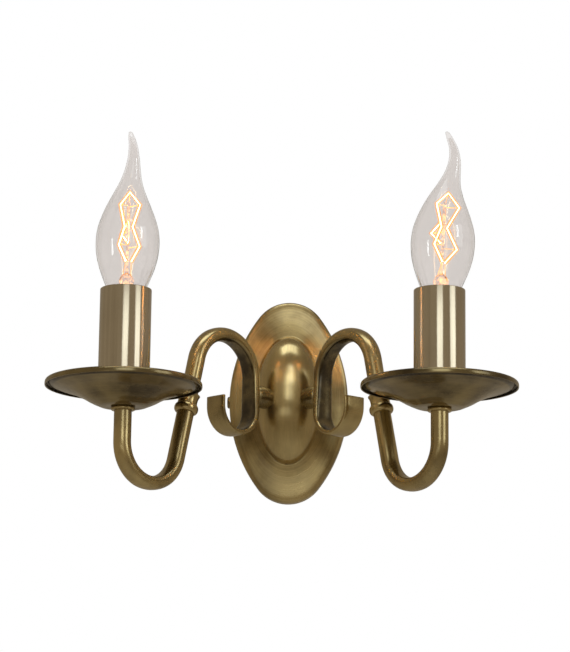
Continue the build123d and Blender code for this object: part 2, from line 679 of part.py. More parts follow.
def sagged(start, end, sag):
    """Middle of a chord, moved square to it: to its right when sag is positive."""
    dx, dz = end[0] - start[0], end[1] - start[1]
    length = hypot(dx, dz)
    middle_x, middle_z = (start[0] + end[0]) / 2, (start[1] + end[1]) / 2
    return middle_x + dz / length * sag, middle_z - dx / length * sag


def drip_pan():
    """Spun pan: small cup, ogee bowl and a lip turned over at the rim."""
    bore = TUBE_RADIUS + HOLE_CLEARANCE
    cup_edge = (PAN_CUP_RADIUS, cup_z(PAN_CUP_RADIUS))
    bowl_end = (PAN_BOWL_END_RADIUS, PAN_RIM_Z - PAN_BOWL_END_DROP)
    cup_mid = (PAN_FLAT_RADIUS + PAN_CUP_RADIUS) / 2
    lip_low = PAN_RIM_Z - PAN_LIP_DROP
    lip_inner = PAN_RADIUS - PAN_WALL

    def lift(point):
        return point[0], point[1] + PAN_WALL

    bowl = [cup_edge] + [(r, PAN_FLOOR_Z + rise) for r, rise in PAN_BOWL] + [bowl_end]
    arc_points = [(PAN_FLAT_RADIUS, PAN_FLOOR_Z), (cup_mid, cup_z(cup_mid)), cup_edge]
    crest_r = PAN_RADIUS - PAN_CREST_INSET
    crest_low = (crest_r, PAN_RIM_Z - PAN_WALL)
    crest = (crest_r, PAN_RIM_Z)
    under_lip = (lip_inner, crest_low[1] - PAN_CREST_INSET + PAN_WALL)
    over_lip = (PAN_RADIUS, PAN_RIM_Z - PAN_CREST_INSET)
    edges = [
        Line((bore, PAN_FLOOR_Z), arc_points[0]),
        ThreePointArc(*arc_points),
        Spline(*bowl),
        ThreePointArc(bowl_end, sagged(bowl_end, crest_low, PAN_CREST_SAG), crest_low),
        ThreePointArc(crest_low, sagged(crest_low, under_lip, -PAN_LIP_SAG / 2), under_lip),
        Line(under_lip, (lip_inner, lip_low)),
        Line((lip_inner, lip_low), (PAN_RADIUS, lip_low)),
        Line((PAN_RADIUS, lip_low), over_lip),
        ThreePointArc(over_lip, sagged(crest, over_lip, -PAN_LIP_SAG), crest),
        ThreePointArc(crest, sagged(lift(bowl_end), crest, PAN_CREST_SAG), lift(bowl_end)),
        Spline(*[lift(p) for p in reversed(bowl)]),
        ThreePointArc(*[lift(p) for p in reversed(arc_points)]),
        Line(lift(arc_points[0]), (bore, PAN_FLOOR_Z + PAN_WALL)),
        Line((bore, PAN_FLOOR_Z + PAN_WALL), (bore, PAN_FLOOR_Z)),
    ]
    profile = Plane.XZ * make_face(Wire([edge.edge() for edge in edges]))
    return revolve(profile, Axis.Z)


def seat_ring():
    """Rounded ring screwed on the tube under the pan."""
    band = ring(RING_RADIUS, TUBE_RADIUS + SLIP_CLEARANCE, PAN_FLOOR_Z - RING_HEIGHT, PAN_FLOOR_Z)
    circles = band.edges().filter_by(GeomType.CIRCLE)
    return fillet(circles.filter_by(lambda edge: edge.radius == RING_RADIUS), RING_ROUND)


def pan_nut():
    """Nut that clamps the pan on its ring."""
    low = PAN_FLOOR_Z + PAN_WALL
    flat = RegularPolygon(PAN_NUT_ACROSS_FLATS / 2, 6, major_radius=False)
    nut = extrude(flat, amount=PAN_NUT_HEIGHT)
    nut -= Cylinder(TUBE_RADIUS + SLIP_CLEARANCE, 3 * PAN_NUT_HEIGHT)
    return Pos(0, 0, low) * nut


holder_low = PAN_FLOOR_Z + PAN_WALL + PAN_NUT_HEIGHT
holder_split = holder_low + HOLDER_BASE_HEIGHT


def holder_base():
    """Lower half of the lampholder, screwed on the tube's end."""
    floor_top = holder_low + HOLDER_FLOOR
    floor = ring(HOLDER_RADIUS, TUBE_RADIUS + SLIP_CLEARANCE, holder_low, floor_top)
    return floor + ring(HOLDER_RADIUS, HOLDER_RADIUS - HOLDER_WALL, floor_top, holder_split)


def holder_body():
    """Upper half of the lampholder: a floor with a well for the leads and an insulating skirt."""
    low, high = holder_split, HOLDER_TOP_Z
    body = ring(HOLDER_RADIUS, SHELL_BORE + SHELL_WALL, low, high)
    floor_top = BULB_BASE_Z - SPRING_DROP
    body += Pos(0, 0, (low + floor_top) / 2) * Cylinder(HOLDER_RADIUS - HOLDER_WALL / 2, floor_top - low)
    mouth = ring(HOLDER_MOUTH_RADIUS, SHELL_BORE - SHELL_STOP, SHELL_TOP_Z, high + SHELL_STOP)
    return body - mouth - Pos(0, 0, low) * Cylinder(HOLDER_WELL_RADIUS, 2 * HOLDER_WELL_DEPTH)


def holder_shell():
    """Screw shell of the lampholder."""
    return ring(SHELL_BORE + SHELL_WALL, SHELL_BORE, SHELL_BOTTOM_Z, SHELL_TOP_Z)


def holder_contact():
    """Sprung centre contact under the bulb."""
    low = BULB_BASE_Z - SPRING_DROP
    strip = Pos(0, 0, low + SPRING_THICK / 2) * Box(SPRING_LENGTH, SPRING_WIDTH, SPRING_THICK)
    return strip + Pos(0, 0, low + SPRING_DROP / 2) * Cylinder(SPRING_BUTTON_RADIUS, SPRING_DROP)


def candle_sleeve():
    """Brass sleeve that stands in the pan round the lampholder."""
    low = cup_z(SLEEVE_RADIUS) + PAN_WALL
    sleeve = ring(SLEEVE_RADIUS, SLEEVE_RADIUS - SLEEVE_WALL, low, SLEEVE_TOP_Z)
    top = sleeve.edges().group_by(Axis.Z)[-1]
    return fillet(top, SLEEVE_TOP_ROUND)


# ============================================================================================
# bulb, heights from its bottom contact
# ============================================================================================
def settle(shape, side, turn):
    """Turns a piece of a bulb about its axis, tilts it in its cap and sets it at its height."""
    upright = Rotation(0, 0, -90 - SIDES[side] * ARM_YAW)
    seat = Pos(0, 0, BULB_BASE_Z + CAP_TOP) * upright * Rotation(0, GLASS_TILT[side], 0)
    return seat * Rotation(0, 0, turn) * Pos(0, 0, -CAP_TOP) * shape


def glass_solid(stations, inset):
    """Bulb outline as a solid through level circles."""
    faces = []
    for height, radius, sway in stations:
        faces.append(Pos(sway, 0, height) * Circle(radius - inset))
    return loft(faces)


def bulb_glass():
    """Hollow envelope, open at the neck inside the cap."""
    inner = GLASS_STATIONS[:GLASS_INNER_STATIONS]
    return glass_solid(GLASS_STATIONS, 0.0) - glass_solid(inner, GLASS_WALL)


def bulb_stem():
    """Glass stem with its rod and button."""
    rod = [(ROD_RADIUS, ROD_FOOT), (ROD_RADIUS, ROD_TOP), (0.0, ROD_TOP)]
    stem = turned([(0.0, STEM_OUTLINE[0][1])] + STEM_OUTLINE + rod)
    return stem + Pos(0, 0, ROD_TOP) * Sphere(BUTTON_RADIUS)


def bulb_filament():
    """Two bent glowing wires, held at their corners."""
    front = bent_wire(FILAMENT_CORNERS, FILAMENT_RADIUS)
    back = bent_wire(BACK_FILAMENT_CORNERS, FILAMENT_RADIUS)
    return Compound(children=[front, back])


def support(foot, tip):
    """Straight support wire that stops just short of the filament."""
    end = tip - (tip - foot).normalized() * SUPPORT_GAP
    return rod_between(foot, end, SUPPORT_RADIUS)


def bulb_supports():
    """Lead-in wires and support hooks from the stem to the filament's corners."""
    wires = []
    for corner, foot_x in zip((FILAMENT_CORNERS[0], FILAMENT_CORNERS[-1]), LEAD_IN_FEET):
        foot_y = corner[1] / 2
        shoulder = STEM_OUTLINE[-1][0]
        inward = (shoulder - hypot(foot_x, foot_y)) / (shoulder - ROD_RADIUS)
        foot_z = STEM_TOP + inward * (ROD_FOOT - STEM_TOP) + SUPPORT_SEAT
        wires.append(support(Vector(foot_x, foot_y, foot_z), Vector(*corner)))
    hooks = [(FILAMENT_CORNERS[n], height) for n, height in HOOK_FEET]
    for corner, height in hooks + [(BACK_FILAMENT_CORNERS[1], BACK_FILAMENT_CORNERS[1][2])]:
        tip = Vector(*corner)
        outward = Vector(tip.X, tip.Y, 0).normalized() * (ROD_RADIUS + SUPPORT_RADIUS)
        wires.append(support(Vector(outward.X, outward.Y, height), tip))
    return Compound(children=wires)


def bulb_cap():
    """Brass screw cap with its rolled thread as rings."""
    low = CONTACT_HEIGHT + INSULATOR_HEIGHT
    cap = ring(CAP_CORE_RADIUS, CAP_CORE_RADIUS - CAP_WALL, low, CAP_TOP)
    swell = CAP_CREST_RADIUS - CAP_CORE_RADIUS
    for n in range(CAP_CRESTS):
        crest = Torus(CAP_CORE_RADIUS, swell) - Cylinder(CAP_CORE_RADIUS - CAP_WALL / 2, CREST_PITCH)
        cap += Pos(0, 0, low + CREST_START + n * CREST_PITCH) * crest
    return cap


def bulb_insulator():
    """Black glass between the cap and its contact."""
    low, high = CONTACT_HEIGHT, CONTACT_HEIGHT + INSULATOR_HEIGHT
    return turned([(0, low), (CONTACT_RADIUS, low), (CAP_CORE_RADIUS, high), (0, high)])


def bulb_contact():
    """Rounded solder contact."""
    button = Cylinder(CONTACT_RADIUS, CONTACT_HEIGHT)
    button = fillet(button.edges().group_by(Axis.Z)[0], CONTACT_ROUND)
    return Pos(0, 0, CONTACT_HEIGHT / 2) * button


# ============================================================================================
# leads inside an arm
# ============================================================================================
def arm_lead(side, offset, pole_x, level_z):
    """Lead from the lampholder, through the arm and its nipple, to a pole of the block."""
    top_z = holder_split + HOLDER_WELL_DEPTH - LEAD_RADIUS
    edges = [Edge.make_line((0, offset, top_z), (0, offset, TUBE_TOP_Z))]
    edges += centreline(0.0, boss_at - LEAD_BEND, offset)
    short = LEAD_BEND * (1 - cos(pi / 4))
    bend = [(0.0, LEAD_BEND), (short, short), (LEAD_BEND, 0.0)]
    edges.append(Edge.make_three_point_arc(*[(back_x + x, offset, BOSS_Z + z) for x, z in bend]))
    straight_end = dome_face_x + PLATE_WALL + NIPPLE_INSIDE + LEAD_PAST_NIPPLE
    frame = side_frame(side)
    stops = [(frame * Pos(x, offset, BOSS_Z)).position for x in (back_x + LEAD_BEND, straight_end)]
    if level_z < BOSS_Z:
        step_x = stops[1].X + (pole_x - stops[1].X) * LEAD_STEP_SHARE
        stops.append(Vector(step_x, stops[1].Y + LEAD_BEND, level_z))
    stops.append(Vector(pole_x, pole_y, level_z))
    stops.append(Vector(pole_x, pole_y, BLOCK_TOP_Z - POLE_BITE))
    tail = FilletPolyline(*stops, radius=LEAD_BEND * 0.9).edges()
    return lead([place(edge, side) for edge in edges] + list(tail), LEAD_RADIUS)


# ============================================================================================
# assembly
# ============================================================================================
def build_wall_parts():
    """Everything that belongs to the wall plate."""
    parts["back_plate"] = back_plate()
    parts["wall_bracket"] = wall_bracket()
    parts["terminal_block"] = terminal_block()
    parts["terminal_tubes"] = terminal_tubes()
    parts["terminal_screws"] = terminal_screws()
    parts["block_screw"] = block_screw()
    parts["earth_screw"] = earth_screw()
    parts["earth_lead"] = earth_lead()
    saddles = [place(nipple_saddle(side), side) for side in SIDES]
    parts["nipple_saddles"] = Compound(children=saddles)
    nuts = [place(nipple_nut(), side) for side in SIDES]
    parts["nipple_nuts"] = Compound(children=nuts)
    clamps = [place(pan_nut(), side) for side in SIDES]
    parts["pan_nuts"] = Compound(children=clamps)
    for side, sign in SIDES.items():
        outward = Rotation(0, 0, 90 - 90 * sign)
        spot = Pos(sign * PLATE_HALF_WIDTH, THUMB_AXIS_Y, 0)
        parts[f"side_screw_{side}"] = spot * outward * side_screw()


def build_arm_parts(side):
    """Everything that belongs to one arm."""
    pieces = {
        "arm_tube": arm_tube(),
        "arm_collar": arm_collar(),
        "arm_spacer": arm_spacer(side),
        "arm_nipple": arm_nipple(),
        "drip_pan": drip_pan(),
        "seat_ring": seat_ring(),
        "holder_base": holder_base(),
        "holder_body": holder_body(),
        "holder_shell": holder_shell(),
        "holder_contact": holder_contact(),
        "candle_sleeve": candle_sleeve(),
        "bulb_glass": settle(bulb_glass(), side, GLASS_TURN[side]),
        "bulb_stem": settle(bulb_stem(), side, FILAMENT_TURN[side]),
        "bulb_supports": settle(bulb_supports(), side, FILAMENT_TURN[side]),
        "bulb_filament": settle(bulb_filament(), side, FILAMENT_TURN[side]),
        "bulb_cap": Pos(0, 0, BULB_BASE_Z) * bulb_cap(),
        "bulb_insulator": Pos(0, 0, BULB_BASE_Z) * bulb_insulator(),
        "bulb_contact": Pos(0, 0, BULB_BASE_Z) * bulb_contact(),
    }
    for name, piece in pieces.items():
        parts[f"{name}_{side}"] = place(piece, side)


def build_leads():
    """The four leads between the lampholders and the block."""
    beside = LEAD_RADIUS + LEAD_GAP
    lower = BOSS_Z - LEAD_LEVEL_STEP
    parts["live_lead_left"] = arm_lead("left", LEAD_OFFSET, pole_xs[0] - beside, BOSS_Z)
    parts["neutral_lead_left"] = arm_lead("left", -LEAD_OFFSET, pole_xs[1] - beside, BOSS_Z)
    parts["neutral_lead_right"] = arm_lead("right", -LEAD_OFFSET, pole_xs[1] + beside, BOSS_Z)
    parts["live_lead_right"] = arm_lead("right", LEAD_OFFSET, pole_xs[0] + beside, lower)


build_wall_parts()
for arm_side in SIDES:
    build_arm_parts(arm_side)
build_leads()
os.makedirs("parts", exist_ok=True)
for node, shape in parts.items():
    export_step(shape, f"parts/{node}.step")
print(len(parts), "nodes; arm reach", round(arm_reach, 2))
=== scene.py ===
"""Double arm wall sconce: its visible pieces, finishes, lamps and camera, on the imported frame."""
import json
from math import asin, atan2, cos, hypot, pi, radians, sin

import bpy
from bpy.props import FloatProperty, FloatVectorProperty, IntProperty, PointerProperty
from mathutils import Matrix, Vector

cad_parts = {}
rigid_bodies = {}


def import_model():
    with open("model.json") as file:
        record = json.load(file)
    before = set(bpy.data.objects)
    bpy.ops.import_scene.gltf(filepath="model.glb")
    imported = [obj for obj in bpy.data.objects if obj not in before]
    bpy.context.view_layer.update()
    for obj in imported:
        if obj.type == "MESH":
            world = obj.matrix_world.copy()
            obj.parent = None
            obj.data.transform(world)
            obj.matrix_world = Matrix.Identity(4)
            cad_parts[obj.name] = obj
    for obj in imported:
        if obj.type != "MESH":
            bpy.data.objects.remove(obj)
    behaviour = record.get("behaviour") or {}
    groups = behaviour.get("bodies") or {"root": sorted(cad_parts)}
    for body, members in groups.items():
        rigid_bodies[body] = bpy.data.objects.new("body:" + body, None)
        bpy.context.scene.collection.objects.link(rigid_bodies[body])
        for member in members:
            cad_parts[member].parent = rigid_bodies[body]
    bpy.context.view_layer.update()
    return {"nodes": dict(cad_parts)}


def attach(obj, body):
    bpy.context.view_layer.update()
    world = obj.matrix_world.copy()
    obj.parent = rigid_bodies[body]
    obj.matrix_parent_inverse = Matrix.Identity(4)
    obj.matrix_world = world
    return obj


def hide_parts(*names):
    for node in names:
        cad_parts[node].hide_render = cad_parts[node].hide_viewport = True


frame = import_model()

bl_info = {
    "name": "Double Arm Wall Sconce",
    "version": (1, 0, 0),
    "blender": (4, 5, 0),
    "location": "View3D > Sidebar > Sconce",
    "description": "Builds the visible pieces of a brass wall sconce with two candle lamps",
    "category": "Object",
}

MM = 0.001
SIDES = {"left": -1, "right": 1}


# ---- sizes and colours that a user would change --------------------------------------------
def length(name, default, description):
    return FloatProperty(name=name, description=description, default=default * MM,
                         min=0.0, precision=4, unit="LENGTH")


def shade(name, default, description):
    return FloatVectorProperty(name=name, description=description, default=default, size=3,
                               min=0.0, max=1.0, subtype="COLOR")


class SconceSizes(bpy.types.PropertyGroup):
    """Main sizes of the sconce."""

    plate_half_width: length("Plate half width", 33.2, "Half the width of the wall plate")
    plate_half_height: length("Plate half height", 57.8, "Half the height of the wall plate")
    plate_end_radius: length("Plate end radius", 20.8, "Radius of the plate's top and bottom")
    plate_wall: length("Plate sheet", 1.0, "Thickness of the pressed sheet")
    rim_depth: length("Rim depth", 6.0, "How far the plate's rim stands off the wall")
    dome_radius: length("Dome radius", 19.4, "Half width and depth of the dome")
    dome_half_height: length("Dome half height", 37.2, "Half the height of the dome")
    dome_centre: length("Dome centre", 13.0, "Distance of the dome's middle from the wall")
    tube_radius: length("Tube radius", 4.8, "Radius of the round tube")
    bend_radius: length("Bend radius", 20.3, "Radius of the low bend of an arm")
    loop_radius: length("Loop radius", 21.9, "Radius of the high loop of an arm")
    curl_radius: length("Curl radius", 13.7, "Radius of the curl at the arm's end")
    collar_radius: length("Collar radius", 6.7, "Radius of the collar's bead")
    boss_radius: length("Boss radius", 6.25, "Radius of the boss on the dome")
    pan_radius: length("Pan radius", 42.5, "Radius of the drip pan")
    sleeve_radius: length("Sleeve radius", 14.0, "Radius of the candle sleeve")
    sleeve_wall: length("Sleeve wall", 0.8, "Thickness of the candle sleeve")
    ring_radius: length("Ring radius", 6.6, "Radius of the ring under a pan")
    wire_radius: length("Bright wire radius", 0.34, "Radius of the bright wire as it shows")
    glow_radius: length("Glow radius", 1.6, "Radius of the glow round the bright wire")
    facets: IntProperty(name="Facets", description="Faces round a turned piece",
                        default=112, min=24, max=256)


class SconceColours(bpy.types.PropertyGroup):
    """Main colours of the sconce."""

    brass_light: shade("Brass", (0.57, 0.44, 0.205), "Worn, lighter brass")
    brass_deep: shade("Aged brass", (0.112, 0.081, 0.038), "Darker aged brass")
    sleeve_light: shade("Sleeve brass", (0.62, 0.54, 0.41), "Brass of the candle sleeves")
    sleeve_deep: shade("Sleeve shade", (0.30, 0.245, 0.165), "Deeper tone of the sleeves")
    # Recess colour: patina on the arms' inner faces, and painted shadow in the groove under the pans'
    # lips.
    recess_tone: shade("Recess", (0.034, 0.026, 0.018), "Blackened brass of the recesses")
    glass_tint: shade("Glass", (0.83, 0.80, 0.78), "Tint of the bulbs")
    # Glass edge colour: painted dark rim on the bulbs, standing in for the shade at their edges.
    glass_edge: shade("Glass edge", (0.40, 0.34, 0.29), "Tint of the bulbs at their edges")
    glow_core: shade("Glow core", (1.0, 0.82, 0.50), "Colour of the bright wire")
    glow_halo: shade("Glow halo", (1.0, 0.36, 0.05), "Colour of the glow round it")
    backdrop: shade("Backdrop", (0.90, 0.90, 0.90), "Floor and backdrop")


# ---- modelling helpers ---------------------------------------------------------------------
def sizes():
    return bpy.context.scene.sconce_sizes


def colours():
    return bpy.context.scene.sconce_colours


def only(piece):
    """Makes one object the active and only selected one."""
    if bpy.context.mode != "OBJECT":
        bpy.ops.object.mode_set(mode="OBJECT")
    bpy.ops.object.select_all(action="DESELECT")
    piece.select_set(True)
    bpy.context.view_layer.objects.active = piece


def eased(points, steps=4):
    """Points on a smooth line through the given ones."""
    points = [Vector(p) for p in points]
    ends = [2 * points[0] - points[1]] + points + [2 * points[-1] - points[-2]]
    line = [points[0]]
    for a, b, c, d in zip(ends, ends[1:], ends[2:], ends[3:]):
        for n in range(1, steps + 1):
            t = n / steps
            line.append(0.5 * (2 * b + (c - a) * t + (2 * a - 5 * b + 4 * c - d) * t * t
                               + (3 * b - a - 3 * c + d) * t ** 3))
    return line


def begin_ring(name, radius, z, count, x=0.0):
    """A level circle in edit mode, all of it selected."""
    if bpy.context.mode != "OBJECT":
        bpy.ops.object.mode_set(mode="OBJECT")
    bpy.ops.object.select_all(action="DESELECT")
    bpy.ops.mesh.primitive_circle_add(vertices=count, radius=radius, location=(x, 0, z))
    piece = bpy.context.object
    piece.name = name
    piece.data.name = name
    bpy.ops.object.transform_apply(location=True, rotation=True, scale=True)
    bpy.ops.object.mode_set(mode="EDIT")
    bpy.ops.mesh.select_mode(type="EDGE")
    bpy.ops.mesh.select_all(action="SELECT")
    return piece


def pull(move, grow, centre):
    """Extrudes the selected ring, moves it and scales it about its centre."""
    bpy.ops.mesh.extrude_edges_move(TRANSFORM_OT_translate={"value": move})
    bpy.ops.transform.resize(value=grow, center_override=centre)


def end_mesh(piece, angle=35.0, recalculate=True):
    """Merges doubles, turns the normals outward and shades the piece."""
    bpy.ops.mesh.select_mode(type="VERT")
    bpy.ops.mesh.select_all(action="SELECT")
    bpy.ops.mesh.remove_doubles(threshold=0.000002)
    if recalculate:
        bpy.ops.mesh.normals_make_consistent(inside=False)
    bpy.ops.object.mode_set(mode="OBJECT")
    only(piece)
    bpy.ops.object.shade_smooth_by_angle(angle=radians(angle))
    return piece


def mark_grain(piece, along):
    """UV map whose U runs along the way that fine grooves smear a highlight."""
    layer = piece.data.uv_layers.new(name="grain")
    for face in piece.data.polygons:
        middle = face.center
        for loop in face.loop_indices:
            point = piece.data.vertices[piece.data.loops[loop].vertex_index].co
            layer.data[loop].uv = along(point, middle)
    return piece


def mark_recess(piece, depth_at):
    """Point attribute that is one where the brass is drawn darker: where old polish stays dark on the
    arms, and as painted shadow in the pans' groove.
    """
    layer = piece.data.attributes.new("recess", "FLOAT", "POINT")
    for vertex, entry in zip(piece.data.vertices, layer.data):
        entry.value = depth_at(vertex)
    return piece


def round_z(point, middle):
    """U up the outline, V round the axis without a jump inside a face."""
    around = atan2(middle.y, middle.x)
    local = Matrix.Rotation(-around, 3, "Z") @ point
    return (hypot(point.x, point.y) + 0.37 * point.z) / MM, around + atan2(local.y, local.x)


def round_y(point, middle):
    """The same round the wall's own axis, for an oval."""
    around = atan2(middle.z, middle.x)
    local = Matrix.Rotation(around, 3, "Y") @ point
    return (hypot(point.x, point.z) - 0.37 * point.y) / MM, around + atan2(local.z, local.x)


def level(point, middle):
    """U straight across."""
    return point.x / MM, (point.z + 0.3 * point.y) / MM


def turned(name, outline, count=0, closed=True, angle=35.0):
    """Piece turned about Z from an outline of (radius, height) in millimetres."""
    outline = [(r * MM, z * MM) for r, z in outline]
    piece = begin_ring(name, outline[0][0], outline[0][1], count or sizes().facets)
    ring = outline[1:] + ([outline[0]] if closed else [])
    radius, z = outline[0]
    for next_radius, next_z in ring:
        factor = next_radius / radius
        pull((0, 0, next_z - z), (factor, factor, 1), (0, 0, next_z))
        radius, z = next_radius, next_z
    if not closed:
        bpy.ops.mesh.merge(type="CENTER")
    return mark_grain(end_mesh(piece, angle), round_z)


def modified(piece, kind, **settings):
    """Adds a modifier and applies it."""
    only(piece)
    modifier = piece.modifiers.new(kind.title(), kind)
    for key, value in settings.items():
        setattr(modifier, key, value)
    bpy.ops.object.modifier_apply(modifier=modifier.name)
    return piece


def put(piece, matrix):
    """Moves a finished piece to its place and leaves its object at the origin."""
    only(piece)
    piece.matrix_world = matrix
    bpy.ops.object.transform_apply(location=True, rotation=True, scale=True)
    return piece


def copied(piece, name):
    """A copy of a piece with its own mesh."""
    only(piece)
    bpy.ops.object.duplicate()
    twin = bpy.context.object
    twin.name = name
    twin.data.name = name
    return twin


def both_sides(piece, stem, matrix_for, replaced, finish_for, body="fixture"):
    """Places a piece and its copy on the two arms, each on its own side's body."""
    pair = {"left": piece, "right": copied(piece, f"{stem}_right")}
    piece.name = f"{stem}_left"
    piece.data.name = piece.name
    for side, item in pair.items():
        put(item, matrix_for(side))
        item.data.materials.clear()
        item.data.materials.append(finish_for(side))
        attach(item, body.format(side))
        if replaced:
            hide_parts(f"{replaced}_{side}")


# ---- the arm's line, in its own frame: the lamp stands on Z and X leads to the dome ---------
ARM_YAW = 41.5
TUBE_TOP = -12.4
BEND_BOTTOM = -61.6
RISE_LEAN = radians(13.8)
LOOP_TOP = 29.3
CURL_CENTRE = -11.6
CURL_TAIL = 5.3
BOSS_Z = -1.8
BOSS_LENGTH = 8.5
BOSS_BITE = 0.9
COLLAR_Z = -17.0
COLLAR_BEAD = 5.0
COLLAR_LENGTH = 10.5
THICKNESS = {"bend": 7.5, "collar": 9.3, "top": 7.9, "boss": 5.6, "curl": 3.4, "end": 2.2}


class ArmLine:
    """Where the middle of the bent tube runs, in millimetres."""

    def __init__(self):
        s = sizes()
        self.tube = s.tube_radius / MM
        bend, loop, curl = s.bend_radius / MM, s.loop_radius / MM, s.curl_radius / MM
        bend_z, loop_z = BEND_BOTTOM + bend, LOOP_TOP - loop
        rise = (loop_z - bend_z + (loop + bend) * sin(RISE_LEAN)) / cos(RISE_LEAN)
        self.back_x = bend + (bend + loop) * cos(RISE_LEAN) + rise * sin(RISE_LEAN) + loop
        self.boss_x = self.back_x + THICKNESS["boss"] / 2
        self.dome_x = self.boss_x + BOSS_LENGTH
        self.reach = self.dome_x + s.dome_radius / MM
        self.runs = [
            (TUBE_TOP - bend_z, 0.0, 0.0), (bend * (pi - RISE_LEAN), bend, 1.0), (rise, 0.0, 0.0),
            (loop * (pi - RISE_LEAN), loop, -1.0), (loop_z - CURL_CENTRE, 0.0, 0.0),
            (curl * pi, curl, -1.0), (CURL_TAIL, 0.0, 0.0),
        ]
        ends = [sum(run[0] for run in self.runs[:n + 1]) for n in range(len(self.runs))]
        self.end = ends[-1]
        self.collar_at = ends[1] + (COLLAR_Z - bend_z + bend * sin(RISE_LEAN)) / cos(RISE_LEAN)
        self.collar_at -= COLLAR_BEAD / 2
        flat = self.collar_at + COLLAR_LENGTH
        self.stations = [
            (ends[0], 2 * self.tube), ((ends[0] + ends[1]) / 2, THICKNESS["bend"]),
            (self.collar_at, THICKNESS["collar"]), (flat, THICKNESS["collar"]),
            (ends[2] + loop * (pi / 2 - RISE_LEAN), THICKNESS["top"]),
            (ends[3] + loop_z - BOSS_Z, THICKNESS["boss"]),
            (ends[4] + curl * pi / 2, THICKNESS["curl"]), (self.end, THICKNESS["end"]),
        ]
        self.scroll_from = ends[2]

    def at(self, distance):
        """(point, direction) at a distance from the top end."""
        x, z, heading, left = 0.0, TUBE_TOP, -pi / 2, distance
        for size, radius, side in self.runs:
            step = min(left, size)
            if radius:
                swept = heading + side * step / radius
                x += side * radius * (sin(swept) - sin(heading))
                z -= side * radius * (cos(swept) - cos(heading))
                heading = swept
            else:
                x, z = x + step * cos(heading), z + step * sin(heading)
            left -= step
            if left <= 1e-9:
                break
        return Vector((x, 0, z)), Vector((cos(heading), 0, sin(heading)))

    def thickness(self, distance):
        """Thickness of the tube across its flat, eased between the stations."""
        for (s0, t0), (s1, t1) in zip(self.stations, self.stations[1:]):
            if distance <= s1:
                share = max(0.0, distance - s0) / (s1 - s0)
                return t0 + (t1 - t0) * share
        return THICKNESS["end"]


def arm_matrix(side):
    """From an arm's own frame to the wall's."""
    reach = ArmLine().reach * MM
    turn = Matrix.Rotation(radians(90 + SIDES[side] * ARM_YAW), 4, "Z")
    dome = Matrix.Translation((0, -sizes().dome_centre, 0))
    return dome @ turn @ Matrix.Translation((-reach, 0, 0))


def lamp_axis(side):
    return arm_matrix(side).to_translation()


def facing(point, direction):
    """Matrix that stands a turned piece at a point, its axis along a direction."""
    across = Vector((0, 1, 0))
    third = direction.cross(across)
    rows = Matrix((across, third, direction)).transposed()
    return Matrix.Translation(point * MM) @ rows.to_4x4()


# ---- shader groups and finishes ------------------------------------------------------------
def new_group(name, inputs, outputs):
    """Shader node group with float or vector sockets."""
    group = bpy.data.node_groups.new(name, "ShaderNodeTree")
    for label, kind, default in inputs:
        socket = group.interface.new_socket(label, in_out="INPUT", socket_type=f"NodeSocket{kind}")
        socket.default_value = default
    for label, kind in outputs:
        group.interface.new_socket(label, in_out="OUTPUT", socket_type=f"NodeSocket{kind}")
    return group, group.nodes.new("NodeGroupInput"), group.nodes.new("NodeGroupOutput")


def wire(tree, source, target):
    tree.links.new(source, target)


def calc(tree, kind, first, second=None, clamp=False):
    """Math node on sockets or numbers."""
    node = tree.nodes.new("ShaderNodeMath")
    node.operation = kind
    node.use_clamp = clamp
    for n, value in enumerate((first, second)):
        if value is None:
            continue
        if isinstance(value, (int, float)):
            node.inputs[n].default_value = value
        else:
            wire(tree, value, node.inputs[n])
    return node.outputs[0]


def vector_calc(tree, kind, first, second):
    node = tree.nodes.new("ShaderNodeVectorMath")
    node.operation = kind
    for n, value in enumerate((first, second)):
        if isinstance(value, (tuple, list, Vector)):
            node.inputs[n].default_value = value
        else:
            wire(tree, value, node.inputs[n])
    return node.outputs["Value" if kind == "LENGTH" else "Vector"]


def noise(tree, vector, scale, detail=3.0, rough=0.55):
    node = tree.nodes.new("ShaderNodeTexNoise")
    node.inputs["Scale"].default_value = scale
    node.inputs["Detail"].default_value = detail
    node.inputs["Roughness"].default_value = rough
    wire(tree, vector, node.inputs["Vector"])
    return node.outputs["Fac"]


def spread(tree, value, low, high, to_low=0.0, to_high=1.0):
    node = tree.nodes.new("ShaderNodeMapRange")
    node.interpolation_type = "SMOOTHSTEP"
    wire(tree, value, node.inputs["Value"])
    for label, number in (("From Min", low), ("From Max", high), ("To Min", to_low), ("To Max", to_high)):
        node.inputs[label].default_value = number
    return node.outputs["Result"]


def straight_grain():
    """Fine brushed lines along one axis, with broad tone bands."""
    group, start, end = new_group(
        "straight grain",
        [("Vector", "Vector", (0, 0, 0)), ("Fine", "Vector", (1, 1, 1)), ("Broad", "Vector", (1, 1, 1))],
        [("Lines", "Float"), ("Bands", "Float")],
    )
    fine = vector_calc(group, "MULTIPLY", start.outputs["Vector"], start.outputs["Fine"])
    broad = vector_calc(group, "MULTIPLY", start.outputs["Vector"], start.outputs["Broad"])
    wire(group, noise(group, fine, 1.0, 4.0, 0.65), end.inputs["Lines"])
    wire(group, spread(group, noise(group, broad, 1.0, 2.0), 0.3, 0.7), end.inputs["Bands"])
    return group


